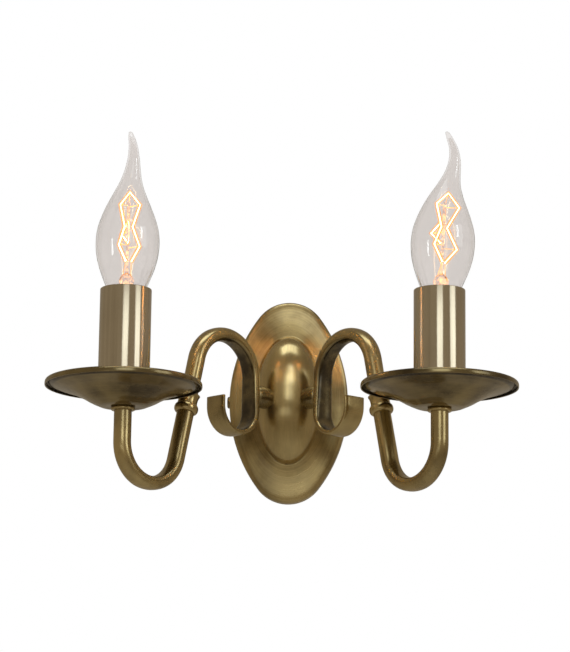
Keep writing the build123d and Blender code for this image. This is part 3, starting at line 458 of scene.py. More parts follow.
def round_grain():
    """Fine lines that run round an axis, as a lathe or a polishing wheel leaves them."""
    group, start, end = new_group(
        "round grain",
        [("Vector", "Vector", (0, 0, 0)), ("Centre", "Vector", (0, 0, 0)), ("Shape", "Vector", (1, 1, 1)),
         ("Along", "Vector", (0, 0, 1)), ("Fine", "Float", 2500.0)],
        [("Lines", "Float"), ("Bands", "Float")],
    )
    local = vector_calc(group, "SUBTRACT", start.outputs["Vector"], start.outputs["Centre"])
    shaped = vector_calc(group, "MULTIPLY", local, start.outputs["Shape"])
    out = vector_calc(group, "LENGTH", shaped, (0, 0, 0))
    dot = group.nodes.new("ShaderNodeVectorMath")
    dot.operation = "DOT_PRODUCT"
    wire(group, local, dot.inputs[0])
    wire(group, start.outputs["Along"], dot.inputs[1])
    level = calc(group, "ADD", out, dot.outputs["Value"])
    fine = group.nodes.new("ShaderNodeCombineXYZ")
    wire(group, calc(group, "MULTIPLY", level, start.outputs["Fine"]), fine.inputs[0])
    swirl = vector_calc(group, "MULTIPLY", local, (22.0, 22.0, 22.0))
    both = vector_calc(group, "ADD", fine.outputs[0], swirl)
    wire(group, noise(group, both, 1.0, 4.0, 0.65), end.inputs["Lines"])
    broad = vector_calc(group, "MULTIPLY", local, (55.0, 55.0, 55.0))
    wire(group, spread(group, noise(group, broad, 1.0, 2.0), 0.3, 0.7), end.inputs["Bands"])
    return group


def patina():
    """Blotches of darker ageing and small worn flecks."""
    group, start, end = new_group(
        "patina", [("Vector", "Vector", (0, 0, 0)), ("Amount", "Float", 0.5)],
        [("Dark", "Float"), ("Flecks", "Float")],
    )
    vector = start.outputs["Vector"]
    blotch = spread(group, noise(group, vector, 48.0, 4.0, 0.6), 0.40, 0.72)
    cloud = spread(group, noise(group, vector, 17.0, 2.0), 0.35, 0.70)
    mixed = calc(group, "MULTIPLY", calc(group, "ADD", blotch, cloud), 0.5)
    wire(group, calc(group, "MULTIPLY", mixed, start.outputs["Amount"], True), end.inputs["Dark"])
    fleck = spread(group, noise(group, vector, 420.0, 3.0, 0.7), 0.62, 0.78)
    wire(group, fleck, end.inputs["Flecks"])
    return group


groups = {}
finishes = {}
BAND_SHARE = 0.22
FLECK_SHARE = 0.12
LACQUER = 0.35
LACQUER_ROUGHNESS = 0.10


def group_node(tree, name):
    if name not in groups:
        groups[name] = {"straight": straight_grain, "round": round_grain, "patina": patina}[name]()
    node = tree.nodes.new("ShaderNodeGroup")
    node.node_tree = groups[name]
    return node


def new_finish(name):
    material = bpy.data.materials.new(name)
    material.use_nodes = True
    tree = material.node_tree
    shader = tree.nodes["Principled BSDF"]
    place = tree.nodes.new("ShaderNodeTexCoord").outputs["Object"]
    finishes[name] = material
    return material, tree, shader, place


def blend_colour(tree, share, first, second):
    node = tree.nodes.new("ShaderNodeMix")
    node.data_type = "RGBA"
    wire(tree, share, node.inputs["Factor"])
    for label, value in (("A", first), ("B", second)):
        socket = [s for s in node.inputs if s.name == label and s.type == "RGBA"][0]
        if isinstance(value, bpy.types.NodeSocket):
            wire(tree, value, socket)
        else:
            socket.default_value = (*value, 1.0)
    return [s for s in node.outputs if s.type == "RGBA"][0]


def add_bump(tree, shader, height, strength, distance):
    bump = tree.nodes.new("ShaderNodeBump")
    bump.inputs["Strength"].default_value = strength
    bump.inputs["Distance"].default_value = distance
    wire(tree, height, bump.inputs["Height"])
    wire(tree, bump.outputs["Normal"], shader.inputs["Normal"])


def brass(name, grain, ageing=0.6, rough=(0.20, 0.36), streak=0.5, bump=0.05, smear=0.0,
          recess=0.0, tones=None, **grain_values):
    """Brushed and aged brass with its grain, patina and uneven polish."""
    if name in finishes:
        return finishes[name]
    material, tree, shader, place = new_finish(name)
    light, deep = tones or (colours().brass_light, colours().brass_deep)
    lines = group_node(tree, grain)
    wire(tree, place, lines.inputs["Vector"])
    for key, value in grain_values.items():
        lines.inputs[key.title()].default_value = value
    aged = group_node(tree, "patina")
    wire(tree, place, aged.inputs["Vector"])
    aged.inputs["Amount"].default_value = ageing
    shift = calc(tree, "MULTIPLY", calc(tree, "SUBTRACT", lines.outputs["Lines"], 0.5), streak)
    bands = calc(tree, "MULTIPLY", lines.outputs["Bands"], BAND_SHARE)
    share = calc(tree, "ADD", calc(tree, "ADD", aged.outputs["Dark"], shift), bands, True)
    colour = blend_colour(tree, share, light, deep)
    worn = calc(tree, "MULTIPLY", aged.outputs["Flecks"], FLECK_SHARE)
    colour = blend_colour(tree, worn, colour, tuple(min(1.0, c * 1.25) for c in light))
    # Where the recess attribute is one, the colour darkens towards the recess colour: patina on the arms'
    # inner faces, painted shadow in the groove under the pans' lips.
    if recess:
        mark = tree.nodes.new("ShaderNodeAttribute")
        mark.attribute_name = "recess"
        patchy_darkening = spread(tree, noise(tree, place, 110.0, 3.0), 0.35, 0.72, recess, 0.6 * recess)
        deep_share = calc(tree, "MULTIPLY", mark.outputs["Fac"], patchy_darkening, True)
        colour = blend_colour(tree, deep_share, colour, colours().recess_tone)
    wire(tree, colour, shader.inputs["Base Color"])
    shader.inputs["Metallic"].default_value = 1.0
    shader.inputs["Coat Weight"].default_value = LACQUER
    shader.inputs["Coat Roughness"].default_value = LACQUER_ROUGHNESS
    if smear:
        shader.inputs["Anisotropic"].default_value = smear
        tangent = tree.nodes.new("ShaderNodeTangent")
        tangent.direction_type = "UV_MAP"
        tangent.uv_map = "grain"
        wire(tree, tangent.outputs[0], shader.inputs["Tangent"])
    uneven = calc(tree, "ADD", calc(tree, "MULTIPLY", share, 0.6),
                  calc(tree, "MULTIPLY", lines.outputs["Lines"], 0.4), True)
    wire(tree, spread(tree, uneven, 0.0, 1.0, *rough), shader.inputs["Roughness"])
    add_bump(tree, shader, lines.outputs["Lines"], bump, 0.0002)
    return material


def metal(name, light, deep, rough=(0.22, 0.42), scale=300.0, metallic=1.0):
    """Plain worked metal with uneven tone and polish."""
    if name in finishes:
        return finishes[name]
    material, tree, shader, place = new_finish(name)
    spots = noise(tree, place, scale, 4.0, 0.6)
    share = spread(tree, spots, 0.3, 0.7)
    wire(tree, blend_colour(tree, share, light, deep), shader.inputs["Base Color"])
    wire(tree, spread(tree, spots, 0.25, 0.75, *rough), shader.inputs["Roughness"])
    shader.inputs["Metallic"].default_value = metallic
    add_bump(tree, shader, noise(tree, place, scale * 4, 3.0), 0.08, 0.0001)
    return material


def moulded(name, light, deep, rough=(0.35, 0.55), scale=260.0):
    """Moulded plastic or lead sheath."""
    return metal(name, light, deep, rough, scale, 0.0)


def glass(name, tint, ripple, lit=0.0):
    """Clear blown glass that lets the lamp's light out; where lit is given, painted glints of the lamp's
    light glow from it as emission.
    """
    if name in finishes:
        return finishes[name]
    material, tree, shader, place = new_finish(name)
    cloud = spread(tree, noise(tree, place, 60.0, 3.0), 0.3, 0.7)
    clear_tint = blend_colour(tree, cloud, tint, tuple(0.97 * c for c in tint))
    # Painted shade: the base colour darkens to the glass edge colour at grazing angles, a dark rim
    # standing in for the shade at the bulbs' edges.
    rim = tree.nodes.new("ShaderNodeLayerWeight")
    edge = calc(tree, "POWER", rim.outputs["Facing"], 5.0, True)
    wire(tree, blend_colour(tree, edge, clear_tint, colours().glass_edge), shader.inputs["Base Color"])
    wire(tree, spread(tree, cloud, 0.0, 1.0, 0.0, 0.015), shader.inputs["Roughness"])
    shader.inputs["Transmission Weight"].default_value = 1.0
    shader.inputs["IOR"].default_value = 1.45
    add_bump(tree, shader, noise(tree, place, 90.0, 2.0), ripple, 0.0006)
    if lit:
        # Painted glints: orange emission in small noise specks, standing in for the lamp's light caught
        # in the glass.
        glint = spread(tree, noise(tree, place, 520.0, 3.0, 0.7), 0.46, 0.62)
        glow = blend_colour(tree, glint, (0.05, 0.012, 0.002), colours().glow_halo)
        wire(tree, glow, shader.inputs["Emission Color"])
        shader.inputs["Emission Strength"].default_value = lit
    clear = tree.nodes.new("ShaderNodeBsdfTransparent")
    clear.inputs["Color"].default_value = (*tint, 1.0)
    rays = tree.nodes.new("ShaderNodeLightPath").outputs
    surface = tree.nodes["Material Output"].inputs["Surface"]
    mix_shaders(tree, rays["Is Shadow Ray"], shader.outputs[0], clear.outputs[0], surface)
    return material


def glowing(name, colour, strength):
    """Bright wire, hotter in its middle runs."""
    if name in finishes:
        return finishes[name]
    material, tree, shader, place = new_finish(name)
    heat = spread(tree, noise(tree, place, 120.0, 2.0), 0.3, 0.7)
    hot = tuple(min(1.0, c * 1.15) for c in colour)
    wire(tree, blend_colour(tree, heat, colour, hot), shader.inputs["Emission Color"])
    wire(tree, blend_colour(tree, heat, colour, hot), shader.inputs["Base Color"])
    shader.inputs["Emission Strength"].default_value = strength
    shader.inputs["Roughness"].default_value = 0.6
    return material


def halo(name, colour, strength, thickest):
    """Soft glow that is strongest where it is looked through most."""
    if name in finishes:
        return finishes[name]
    material, tree, shader, place = new_finish(name)
    rim = tree.nodes.new("ShaderNodeLayerWeight")
    rim.inputs["Blend"].default_value = 0.5
    middle = calc(tree, "SUBTRACT", 1.0, rim.outputs["Facing"], True)
    soft = calc(tree, "POWER", middle, 2.0)
    uneven = spread(tree, noise(tree, place, 150.0, 2.0), 0.3, 0.7, 0.8, 1.0)
    alpha = calc(tree, "MULTIPLY", calc(tree, "MULTIPLY", soft, uneven), thickest)
    wire(tree, alpha, shader.inputs["Alpha"])
    shader.inputs["Base Color"].default_value = (0.0, 0.0, 0.0, 1.0)
    shader.inputs["Emission Color"].default_value = (*colour, 1.0)
    shader.inputs["Emission Strength"].default_value = strength
    shader.inputs["Specular IOR Level"].default_value = 0.0
    return material


# ---- finishes of this object's pieces ------------------------------------------------------
def plate_finish():
    s = sizes()
    shape = (1.0, 0.0, s.plate_half_width / s.plate_half_height)
    return brass("flange brass", "round", ageing=0.75, rough=(0.26, 0.38),
                 streak=0.75, bump=0.06, smear=0.6, shape=shape, along=(0, 0, 0), fine=2600.0)


def dome_finish():
    return brass("dome brass", "straight", ageing=0.30, rough=(0.20, 0.32),
                 streak=0.50, bump=0.04, smear=0.7, fine=(1500.0, 260.0, 45.0), broad=(120.0, 60.0, 14.0))


def arm_finish(side):
    return brass("arm brass", "straight", ageing=0.68, rough=(0.22, 0.34),
                 streak=0.30, bump=0.006, recess=0.92,
                 fine=(320.0, 320.0, 160.0), broad=(60.0, 60.0, 40.0))


def turned_finish(side, name="turned brass", ageing=0.5, rough=(0.20, 0.34), tone=1.0, recess=0.0):
    c = colours()
    tones = [tuple(tone * v for v in colour) for colour in (c.brass_light, c.brass_deep)]
    return brass(f"{name} {side}", "round", ageing=ageing, rough=rough, tones=tones,
                 streak=0.55, bump=0.03, smear=0.6, recess=recess,
                 centre=lamp_axis(side), shape=(1, 1, 0), along=(0, 0, 1.0), fine=1800.0)


def boss_finish(side):
    return turned_finish(side, "boss brass", 0.8, (0.20, 0.34), 0.7)


def pan_finish(side):
    # The pans' brass is a darker copy (tone 0.66) with strong ageing: patina blotches, plus painted shade
    # for the dark surroundings that their undersides face.
    return turned_finish(side, "pan brass", 0.9, (0.19, 0.30), 0.66, 0.95)


def sleeve_finish(side):
    tones = (colours().sleeve_light, colours().sleeve_deep)
    return brass("sleeve brass", "straight", ageing=0.18, tones=tones,
                 rough=(0.17, 0.25), streak=0.30, bump=0.02, smear=0.85,
                 fine=(1700.0, 1700.0, 26.0), broad=(420.0, 420.0, 6.0))


def screw_finish(side):
    c = colours()
    darker = tuple(0.55 * v for v in c.brass_light)
    return metal("dark brass", darker, c.brass_deep, (0.25, 0.4), 500.0)


def clear_finish(side):
    return glass("clear glass", colours().glass_tint, 0.10)


def core_finish(side):
    return glowing("bright wire", colours().glow_core, 14.0)


def halo_finish(side):
    return halo("wire halo", colours().glow_halo, 1.8, 0.78)


# glass of the stems, with painted glints as emission
def lit_finish(side):
    return glass("lit glass", colours().glass_tint, 0.30, 1.1)


# ---- stage ---------------------------------------------------------------------------------
CAMERA_PLACE = (0.0581, -1.4718, -0.2831)
CAMERA_TURN = (102.61, -0.68, 2.22)
CAMERA_LENS = 142.8
SOFTBOXES = [
    # name, place, half-size across and up, brightness
    ("front softbox", (0.10, -1.45, 0.47), (0.30, 0.33), 1.75),
    ("side softbox", (1.34, -0.78, 0.50), (0.34, 0.40), 1.75),
    ("overhead softbox", (0.05, -0.40, 1.30), (0.60, 0.26), 2.3),
    ("low fill card", (-0.20, -1.75, -0.20), (0.60, 0.12), 0.5),
    ("card for the dome", (0.20, -1.00, 0.62), (0.15, 0.20), 3.2),
    ("left card for the glass", (-1.15, -0.98, 0.08), (0.09, 0.26), 9.0),
    ("right card for the glass", (1.20, -0.92, 0.62), (0.11, 0.24), 7.0),
]
SOFTBOX_COLOUR = (0.90, 0.98, 1.0)
SOFTBOX_TARGET = (0.0, -0.06, 0.02)
ROOM_COLOUR = (1.0, 0.84, 0.61, 1.0)
ROOM_LIGHT = 0.31
BULB_LIGHT = 0.26
BULB_COLOUR = (1.0, 0.50, 0.16)
BULB_LIGHT_RADIUS = 0.006
BULB_LIGHT_PLACE = (0, 0, 0.066)
STRIP_LIGHT = 0.030
STRIP_COLOUR = (1.0, 0.40, 0.09)
STRIP_SIZE = (0.012, 0.095)
STRIP_PLACE = Vector((0, 0, 0.074))


def point_at(thing, target):
    direction = Vector(target) - thing.location
    thing.rotation_euler = direction.to_track_quat("-Z", "Y").to_euler()


def new_lamp(name, kind, energy, colour, size=None):
    """Lamp that is seen only by what it lights."""
    lamp = bpy.data.lights.new(name, kind)
    lamp.energy = energy
    lamp.color = colour
    if size:
        lamp.shape = "RECTANGLE"
        lamp.size, lamp.size_y = size
    holder = bpy.data.objects.new(name, lamp)
    bpy.context.scene.collection.objects.link(holder)
    holder.visible_camera = False
    holder.visible_transmission = False
    return holder


def mix_shaders(tree, share, first, second, target):
    mix = tree.nodes.new("ShaderNodeMixShader")
    for n, source in enumerate((share, first, second)):
        wire(tree, source, mix.inputs[n])
    wire(tree, mix.outputs[0], target)


def seen_white(tree, kind, surface, target):
    """Shows plain white to the camera and through glass, and the given surface to the rest."""
    rays = tree.nodes.new("ShaderNodeLightPath").outputs
    white = tree.nodes.new(kind)
    white.inputs["Color"].default_value = (1, 1, 1, 1)
    seen = calc(tree, "MAXIMUM", rays["Is Camera Ray"], rays["Is Transmission Ray"])
    mix_shaders(tree, seen, surface, white.outputs[0], target)


def pale_surface(name):
    """Pale matt surface for the floor and the backdrop."""
    material, tree, shader, place = new_finish(name)
    tone = colours().backdrop
    mottled = spread(tree, noise(tree, place, 3.0, 2.0), 0.3, 0.7)
    darker = tuple(0.985 * c for c in tone)
    wire(tree, blend_colour(tree, mottled, tone, darker), shader.inputs["Base Color"])
    shader.inputs["Roughness"].default_value = 0.9
    surface = tree.nodes["Material Output"].inputs["Surface"]
    seen_white(tree, "ShaderNodeEmission", shader.outputs[0], surface)
    return material


def stage_sheet(name, size, place, turn, material):
    bpy.ops.object.select_all(action="DESELECT")
    bpy.ops.mesh.primitive_plane_add(size=size, location=place, rotation=turn)
    sheet = bpy.context.object
    sheet.name = name
    bpy.ops.object.transform_apply(location=True, rotation=True, scale=True)
    sheet.data.materials.append(material)


class SCONCE_OT_stage(bpy.types.Operator):
    """Sets the camera, floor, backdrop, softboxes and world"""

    bl_idname = "sconce.stage"
    bl_label = "Stage"

    def execute(self, context):
        scene = context.scene
        scene.view_settings.view_transform = "Standard"
        camera = bpy.data.objects.new("camera", bpy.data.cameras.new("camera"))
        scene.collection.objects.link(camera)
        camera.location = CAMERA_PLACE
        camera.rotation_euler = [radians(a) for a in CAMERA_TURN]
        camera.data.lens = CAMERA_LENS
        camera.data.clip_start = 0.01
        scene.camera = camera
        pale = pale_surface("pale backdrop")
        stage_sheet("floor", 9.0, (0, 0, -1.30), (0, 0, 0), pale)
        stage_sheet("backdrop", 9.0, (0, 3.6, 3.2), (pi / 2, 0, 0), pale)
        for name, spot, (across, up), brightness in SOFTBOXES:
            energy = brightness * pi * 4 * across * up
            box = new_lamp(name, "AREA", energy, SOFTBOX_COLOUR, (2 * across, 2 * up))
            box.location = spot
            point_at(box, SOFTBOX_TARGET)
        world = bpy.data.worlds.new("studio")
        world.use_nodes = True
        scene.world = world
        tree = world.node_tree
        room = tree.nodes["Background"]
        room.inputs["Color"].default_value = ROOM_COLOUR
        room.inputs["Strength"].default_value = ROOM_LIGHT
        surface = tree.nodes["World Output"].inputs["Surface"]
        seen_white(tree, "ShaderNodeBackground", room.outputs[0], surface)
        return {"FINISHED"}


# ---- wall plate ----------------------------------------------------------------------------
# (share of the way from the rim to the dome, depth beyond the rim in millimetres)
FLANGE_FACE = [(0.0, 0.0), (0.012, 0.45), (0.035, 0.8), (0.12, 1.3), (0.4, 2.0), (0.7, 3.0), (1.0, 4.6)]
FLANGE_TUCK = 1.4


def oval_loop(half_width, half_height, end_radius, count):
    """Points of an oval drawn with four tangent arcs, in the wall's plane."""
    end_z = half_height - end_radius
    side_radius = (half_width ** 2 + end_z ** 2 - end_radius ** 2) / (2 * (half_width - end_radius))
    side_x = half_width - side_radius
    turn = asin(end_z / hypot(side_x, end_z))
    points = []
    for centre, radius, start, sweep in (
        ((side_x, 0.0), side_radius, -turn, 2 * turn),
        ((0.0, end_z), end_radius, turn, pi - 2 * turn),
        ((-side_x, 0.0), side_radius, pi - turn, 2 * turn),
        ((0.0, -end_z), end_radius, pi + turn, pi - 2 * turn),
    ):
        for n in range(count):
            angle = start + sweep * n / count
            points.append((centre[0] + radius * cos(angle), 0.0, centre[1] + radius * sin(angle)))
    return points


class SCONCE_OT_plate(bpy.types.Operator):
    """Models the oval wall plate with its dome"""

    bl_idname = "sconce.plate"
    bl_label = "Wall plate"

    def execute(self, context):
        s = sizes()
        mesh = bpy.data.meshes.new("plate_flange")
        loop = oval_loop(s.plate_half_width, s.plate_half_height, s.plate_end_radius, 40)
        count = len(loop)
        mesh.from_pydata(loop, [(n, (n + 1) % count) for n in range(count)], [])
        flange = bpy.data.objects.new("plate_flange", mesh)
        context.scene.collection.objects.link(flange)
        only(flange)
        bpy.ops.object.mode_set(mode="EDIT")
        bpy.ops.mesh.select_mode(type="EDGE")
        bpy.ops.mesh.select_all(action="SELECT")
        bpy.ops.mesh.extrude_edges_move(TRANSFORM_OT_translate={"value": (0, -s.rim_depth * 0.6, 0)})
        bpy.ops.mesh.extrude_edges_move(TRANSFORM_OT_translate={"value": (0, -s.rim_depth * 0.4, 0)})
        width, height, y = s.plate_half_width, s.plate_half_height, -s.rim_depth
        tuck = FLANGE_TUCK * MM
        for share, depth in eased([Vector((a, b)) for a, b in FLANGE_FACE], 3)[1:]:
            next_width = s.plate_half_width + (s.dome_radius - tuck - s.plate_half_width) * share
            next_height = s.plate_half_height + (s.dome_half_height - tuck - s.plate_half_height) * share
            next_y = -s.rim_depth - depth * MM
            grow = (next_width / width, 1, next_height / height)
            pull((0, next_y - y, 0), grow, (0, next_y, 0))
            width, height, y = next_width, next_height, next_y
        end_mesh(flange, 50.0, False)
        modified(flange, "SOLIDIFY", thickness=s.plate_wall, offset=-1.0, use_even_offset=True)
        mark_grain(flange, round_y)

        bpy.ops.object.select_all(action="DESELECT")
        bpy.ops.mesh.primitive_uv_sphere_add(segments=128, ring_count=64, radius=1.0)
        dome = bpy.context.object
        dome.name = "plate_dome"
        dome.scale = (s.dome_radius, s.dome_radius, s.dome_half_height)
        dome.location = (0, -s.dome_centre, 0)
        bpy.ops.object.transform_apply(location=True, rotation=True, scale=True)
        bpy.ops.object.mode_set(mode="EDIT")
        bpy.ops.mesh.select_all(action="SELECT")
        bpy.ops.mesh.bisect(plane_co=(0, -s.dome_centre, 0), plane_no=(0, 1, 0), clear_outer=True)
        foot = s.dome_centre - s.rim_depth - 4.0 * MM
        bpy.ops.mesh.extrude_edges_move(TRANSFORM_OT_translate={"value": (0, foot, 0)})
        end_mesh(dome, 50.0)
        modified(dome, "SOLIDIFY", thickness=s.plate_wall, offset=-1.0)
        mark_grain(dome, level)
        for piece, material in ((flange, plate_finish()), (dome, dome_finish())):
            piece.data.materials.clear()
            piece.data.materials.append(material)
            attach(piece, "fixture")
            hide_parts("back_plate")
        return {"FINISHED"}


# ---- arms ----------------------------------------------------------------------------------
SECTION_POINTS = 48
STATION_STEP = 1.6
HOLLOW = 0.055
RECESS_EDGE = 0.50
RECESS_FADE = 0.22
RECESS_RUN = 16.0


def arm_recess(line, distance, corner):
    """How far a corner of the section lies on the darkened inner face."""
    inner = (-sin(2 * pi * corner / SECTION_POINTS) - RECESS_EDGE) / RECESS_FADE
    start = (distance - line.scroll_from) / RECESS_RUN
    return max(0.0, min(1.0, inner)) * max(0.0, min(1.0, start))


def arm_section(line, distance, shrink=0.0):
    """Corners of the tube's section: round at the lamp, flat-faced towards the scroll."""
    point, along = line.at(distance)
    out = Vector((-along.z, 0, along.x))
    thick = line.thickness(distance)
    width = thick + pi * (2 * line.tube - thick) / 2
    flat = (2 * line.tube - thick) / (2 * line.tube)
    power = 2 + 2.2 * flat
    corners = []
    for n in range(SECTION_POINTS):
        angle = 2 * pi * n / SECTION_POINTS
        c, s = cos(angle), sin(angle)
        reach = (abs(c) ** power + abs(s) ** power) ** (-1 / power)
        across, through = (width / 2 - shrink) * c * reach, (thick / 2 - shrink) * s * reach
        if s < 0 and distance > line.scroll_from:
            through += HOLLOW * width * flat * 2.2 * max(0.0, 1 - (2 * across / width) ** 2) ** 1.5
        corners.append(tuple((point + Vector((0, across, 0)) + out * through) * MM))
    return corners


class SCONCE_OT_arms(bpy.types.Operator):
    """Models the bent tubes, whose section changes all along them, as skins over their sections"""

    bl_idname = "sconce.arms"
    bl_label = "Arms"

    def execute(self, context):
        line = ArmLine()
        steps = int(line.end / STATION_STEP)
        stops = [line.end * n / steps for n in range(steps)] + [line.end - 0.25]
        rings = [arm_section(line, stop) for stop in stops]
        rings.append(arm_section(line, line.end, 0.22))
        points = [corner for ring in rings for corner in ring]
        count = SECTION_POINTS
        faces = []
        for row in range(len(rings) - 1):
            for n in range(count):
                a, b = row * count + n, row * count + (n + 1) % count
                faces.append((a, b, b + count, a + count))
        faces.append(tuple(range(count)))
        faces.append(tuple(range((len(rings) - 1) * count, len(rings) * count)))
        mesh = bpy.data.meshes.new("arm_tube")
        mesh.from_pydata(points, [], faces)
        arm = bpy.data.objects.new("brass_arm", mesh)
        context.scene.collection.objects.link(arm)
        depths = [arm_recess(line, stop, n) for stop in stops + [line.end] for n in range(count)]
        mark_recess(arm, lambda vertex: depths[vertex.index])
        only(arm)
        bpy.ops.object.mode_set(mode="EDIT")
        end_mesh(arm, 60.0)
        both_sides(arm, "brass_arm", arm_matrix, "arm_tube", arm_finish)
        return {"FINISHED"}


class SCONCE_OT_collars(bpy.types.Operator):
    """Models the turned collars on the rising parts of the arms"""

    bl_idname = "sconce.collars"
    bl_label = "Collars"

    def execute(self, context):
        line = ArmLine()
        bead = sizes().collar_radius / MM
        bead_line = [(bead - 1.3 + 1.3 * sin(a), 2.5 - 2.3 * cos(a))
                     for a in [pi * n / 14 for n in range(15)]]
        neck = eased([(5.55, 5.2), (5.4, 6.2), (5.42, 7.4), (5.62, 8.9), (6.0, 10.0), (6.25, 10.5)], 3)
        outline = [(4.9, 0.1)] + bead_line + [tuple(p) for p in neck]
        outline += [(6.2, 10.68), (5.9, 10.74), (5.3, 10.3), (4.9, 9.6)]
        collar = turned("turned_collar", outline, 72, angle=40.0)
        point, along = line.at(line.collar_at)
        stand = facing(point, along)
        both_sides(collar, "turned_collar", lambda side: arm_matrix(side) @ stand,
                   "arm_collar", turned_finish)
        return {"FINISHED"}


class SCONCE_OT_bosses(bpy.types.Operator):
    """Models the round bosses between the arms and the dome"""

    bl_idname = "sconce.bosses"
    bl_label = "Bosses"

    def execute(self, context):
        line = ArmLine()
        radius = sizes().boss_radius / MM
        foot = BOSS_LENGTH + BOSS_BITE
        outline = [(1.0, -1.2), (radius - 1.9, -1.2), (radius - 1.0, -0.9), (radius - 0.35, -0.45),
                   (radius - 0.08, 0.1), (radius, 0.6), (radius, foot), (1.0, foot)]
        boss = turned("dome_boss", outline, 72, angle=40.0)
        stand = facing(Vector((line.boss_x, 0, BOSS_Z)), Vector((1, 0, 0)))
        both_sides(boss, "dome_boss", lambda side: arm_matrix(side) @ stand,
                   "arm_spacer", boss_finish)
        return {"FINISHED"}


# ---- pans, rings and sleeves ---------------------------------------------------------------
PAN_WALL = 0.8
# underside of the pan from its bore outward, (radius, height)
PAN_CUP = [(5.05, -23.0), (8.0, -23.0), (10.0, -23.0), (12.7, -22.62), (14.6, -21.8), (15.4, -21.4)]
PAN_BOWL = [(15.4, -21.5), (18.6, -20.0), (22.5, -17.8), (28.7, -14.9), (34.5, -13.0), (38.9, -11.6)]
PAN_LIP = [(40.2, -10.7), (41.1, -9.75), (41.5, -9.9), (41.75, -10.4), (41.75, -11.7)]
PAN_EDGE = [(41.95, -11.98), (42.3, -11.98), (42.5, -11.7), (42.5, -10.3), (42.25, -9.6), (41.75, -9.1),
            (41.0, -8.85)]


# the groove between bowl and lip, painted dark as the shadow under the lip
GROOVE_INNER = 38.0
GROOVE_OUTER = 41.9
GROOVE_LOW = -12.0
GROOVE_HIGH = -9.5
GROOVE_TOP = -9.36
GROOVE_SLOPE = 0.9 / 3.9


class SCONCE_OT_pans(bpy.types.Operator):
    """Models the spun drip pans with their turned-over lips"""

    bl_idname = "sconce.pans"
    bl_label = "Drip pans"

    def execute(self, context):
        stretch = sizes().pan_radius / (42.5 * MM)
        cup = [tuple(p) for p in eased(PAN_CUP, 3)]
        bowl = [tuple(p) for p in eased(PAN_BOWL, 5)]
        under = cup + bowl + [tuple(p) for p in eased(PAN_LIP, 2)]
        over = [tuple(p) for p in eased(PAN_EDGE, 2)]
        inside = [(r, z + PAN_WALL) for r, z in reversed(cup + bowl[:-1])]
        outline = under + over + [(40.2, -9.35)] + inside
        outline = [(r * stretch if r > 16 else r, z) for r, z in outline]
        pan = turned("spun_pan", outline, angle=32.0)

        def groove(vertex):
            out, z = hypot(vertex.co.x, vertex.co.y) / stretch / MM, vertex.co.z / MM
            top = GROOVE_TOP - GROOVE_SLOPE * (GROOVE_OUTER - out)
            inside = GROOVE_INNER < out < GROOVE_OUTER and GROOVE_LOW < z < min(top, GROOVE_HIGH)
            return 1.0 if inside else 0.0

        # marks the groove for a painted shadow in the recess colour
        mark_recess(pan, groove)
        both_sides(pan, "spun_pan", arm_matrix, "drip_pan", pan_finish)
        return {"FINISHED"}


class SCONCE_OT_rings(bpy.types.Operator):
    """Models the rounded rings under the pans"""

    bl_idname = "sconce.rings"
    bl_label = "Seat rings"

    def execute(self, context):
        radius = sizes().ring_radius / MM
        bulge = [(radius - 0.55 + 0.55 * sin(a), -23.9 - 0.9 * cos(a))
                 for a in [pi * n / 10 for n in range(11)]]
        band = turned("seat_band", [(4.85, -24.8)] + bulge + [(4.85, -23.0)], 72)
        both_sides(band, "seat_band", arm_matrix, "seat_ring", turned_finish)
        return {"FINISHED"}


class SCONCE_OT_sleeves(bpy.types.Operator):
    """Models the brushed candle sleeves"""

    bl_idname = "sconce.sleeves"
    bl_label = "Candle sleeves"

    def execute(self, context):
        radius, wall = sizes().sleeve_radius / MM, sizes().sleeve_wall / MM
        low, high = -21.2, 42.0
        outline = [(radius, low), (radius, 0.0), (radius, high - 0.35), (radius - 0.08, high - 0.12),
                   (radius - 0.28, high), (radius - wall + 0.25, high), (radius - wall, high - 0.25),
                   (radius - wall, low)]
        sleeve = turned("brushed_sleeve", outline, 128, angle=32.0)
        both_sides(sleeve, "brushed_sleeve", arm_matrix, "candle_sleeve", sleeve_finish)
        return {"FINISHED"}


# ---- bulbs ---------------------------------------------------------------------------------
BULB_BASE = 10.8
CAP_TOP = 20.0
GLASS_TILT = {"left": 0.3, "right": 2.8}
GLASS_TURN = {"left": -58.0, "right": 0.0}
WIRE_TURN = {"left": -30.0, "right": 0.0}
# (height, radius, sideways sway of the centre)
GLASS_STATIONS = [
    (17.5, 5.6, 0.0), (20.0, 5.85, 0.0), (22.2, 6.6, 0.0), (26.5, 8.5, 0.0), (32.0, 10.9, 0.0),
    (38.0, 13.3, 0.0), (44.0, 15.4, 0.0), (50.0, 16.8, 0.0), (57.0, 17.4, 0.0), (64.2, 16.8, 0.0),
    (70.9, 14.9, 0.0), (77.7, 12.2, 0.1), (84.4, 9.1, 0.6), (91.1, 6.2, 1.9), (97.8, 4.4, 3.5),
    (104.5, 3.3, 4.3), (111.2, 2.5, 3.4), (116.4, 1.9, 1.3), (120.0, 1.2, -0.4),
]
GLASS_TIP = [(120.45, 0.85, -0.55), (120.75, 0.35, -0.65)]
GLASS_WALL = 0.85
CAVITY_END = 117.0
STEM_OUTLINE = [(4.8, 18.0), (3.2, 25.0), (3.6, 33.0), (4.2, 36.0), (2.8, 39.0), (1.0, 40.0)]
WIRE_CORNERS = [
    (0.2, -1.6, 47.0), (-4.6, -1.8, 56.5), (-1.2, -1.6, 66.5), (-4.4, -1.8, 79.0),
    (1.7, -1.6, 85.2), (8.0, -0.6, 77.5), (1.9, 1.6, 66.5), (7.8, 0.4, 54.5), (1.6, 1.6, 47.0),
]
BACK_CORNERS = [(-1.2, 1.8, 70.0), (-6.6, 3.2, 63.6), (-1.2, 1.8, 58.0)]


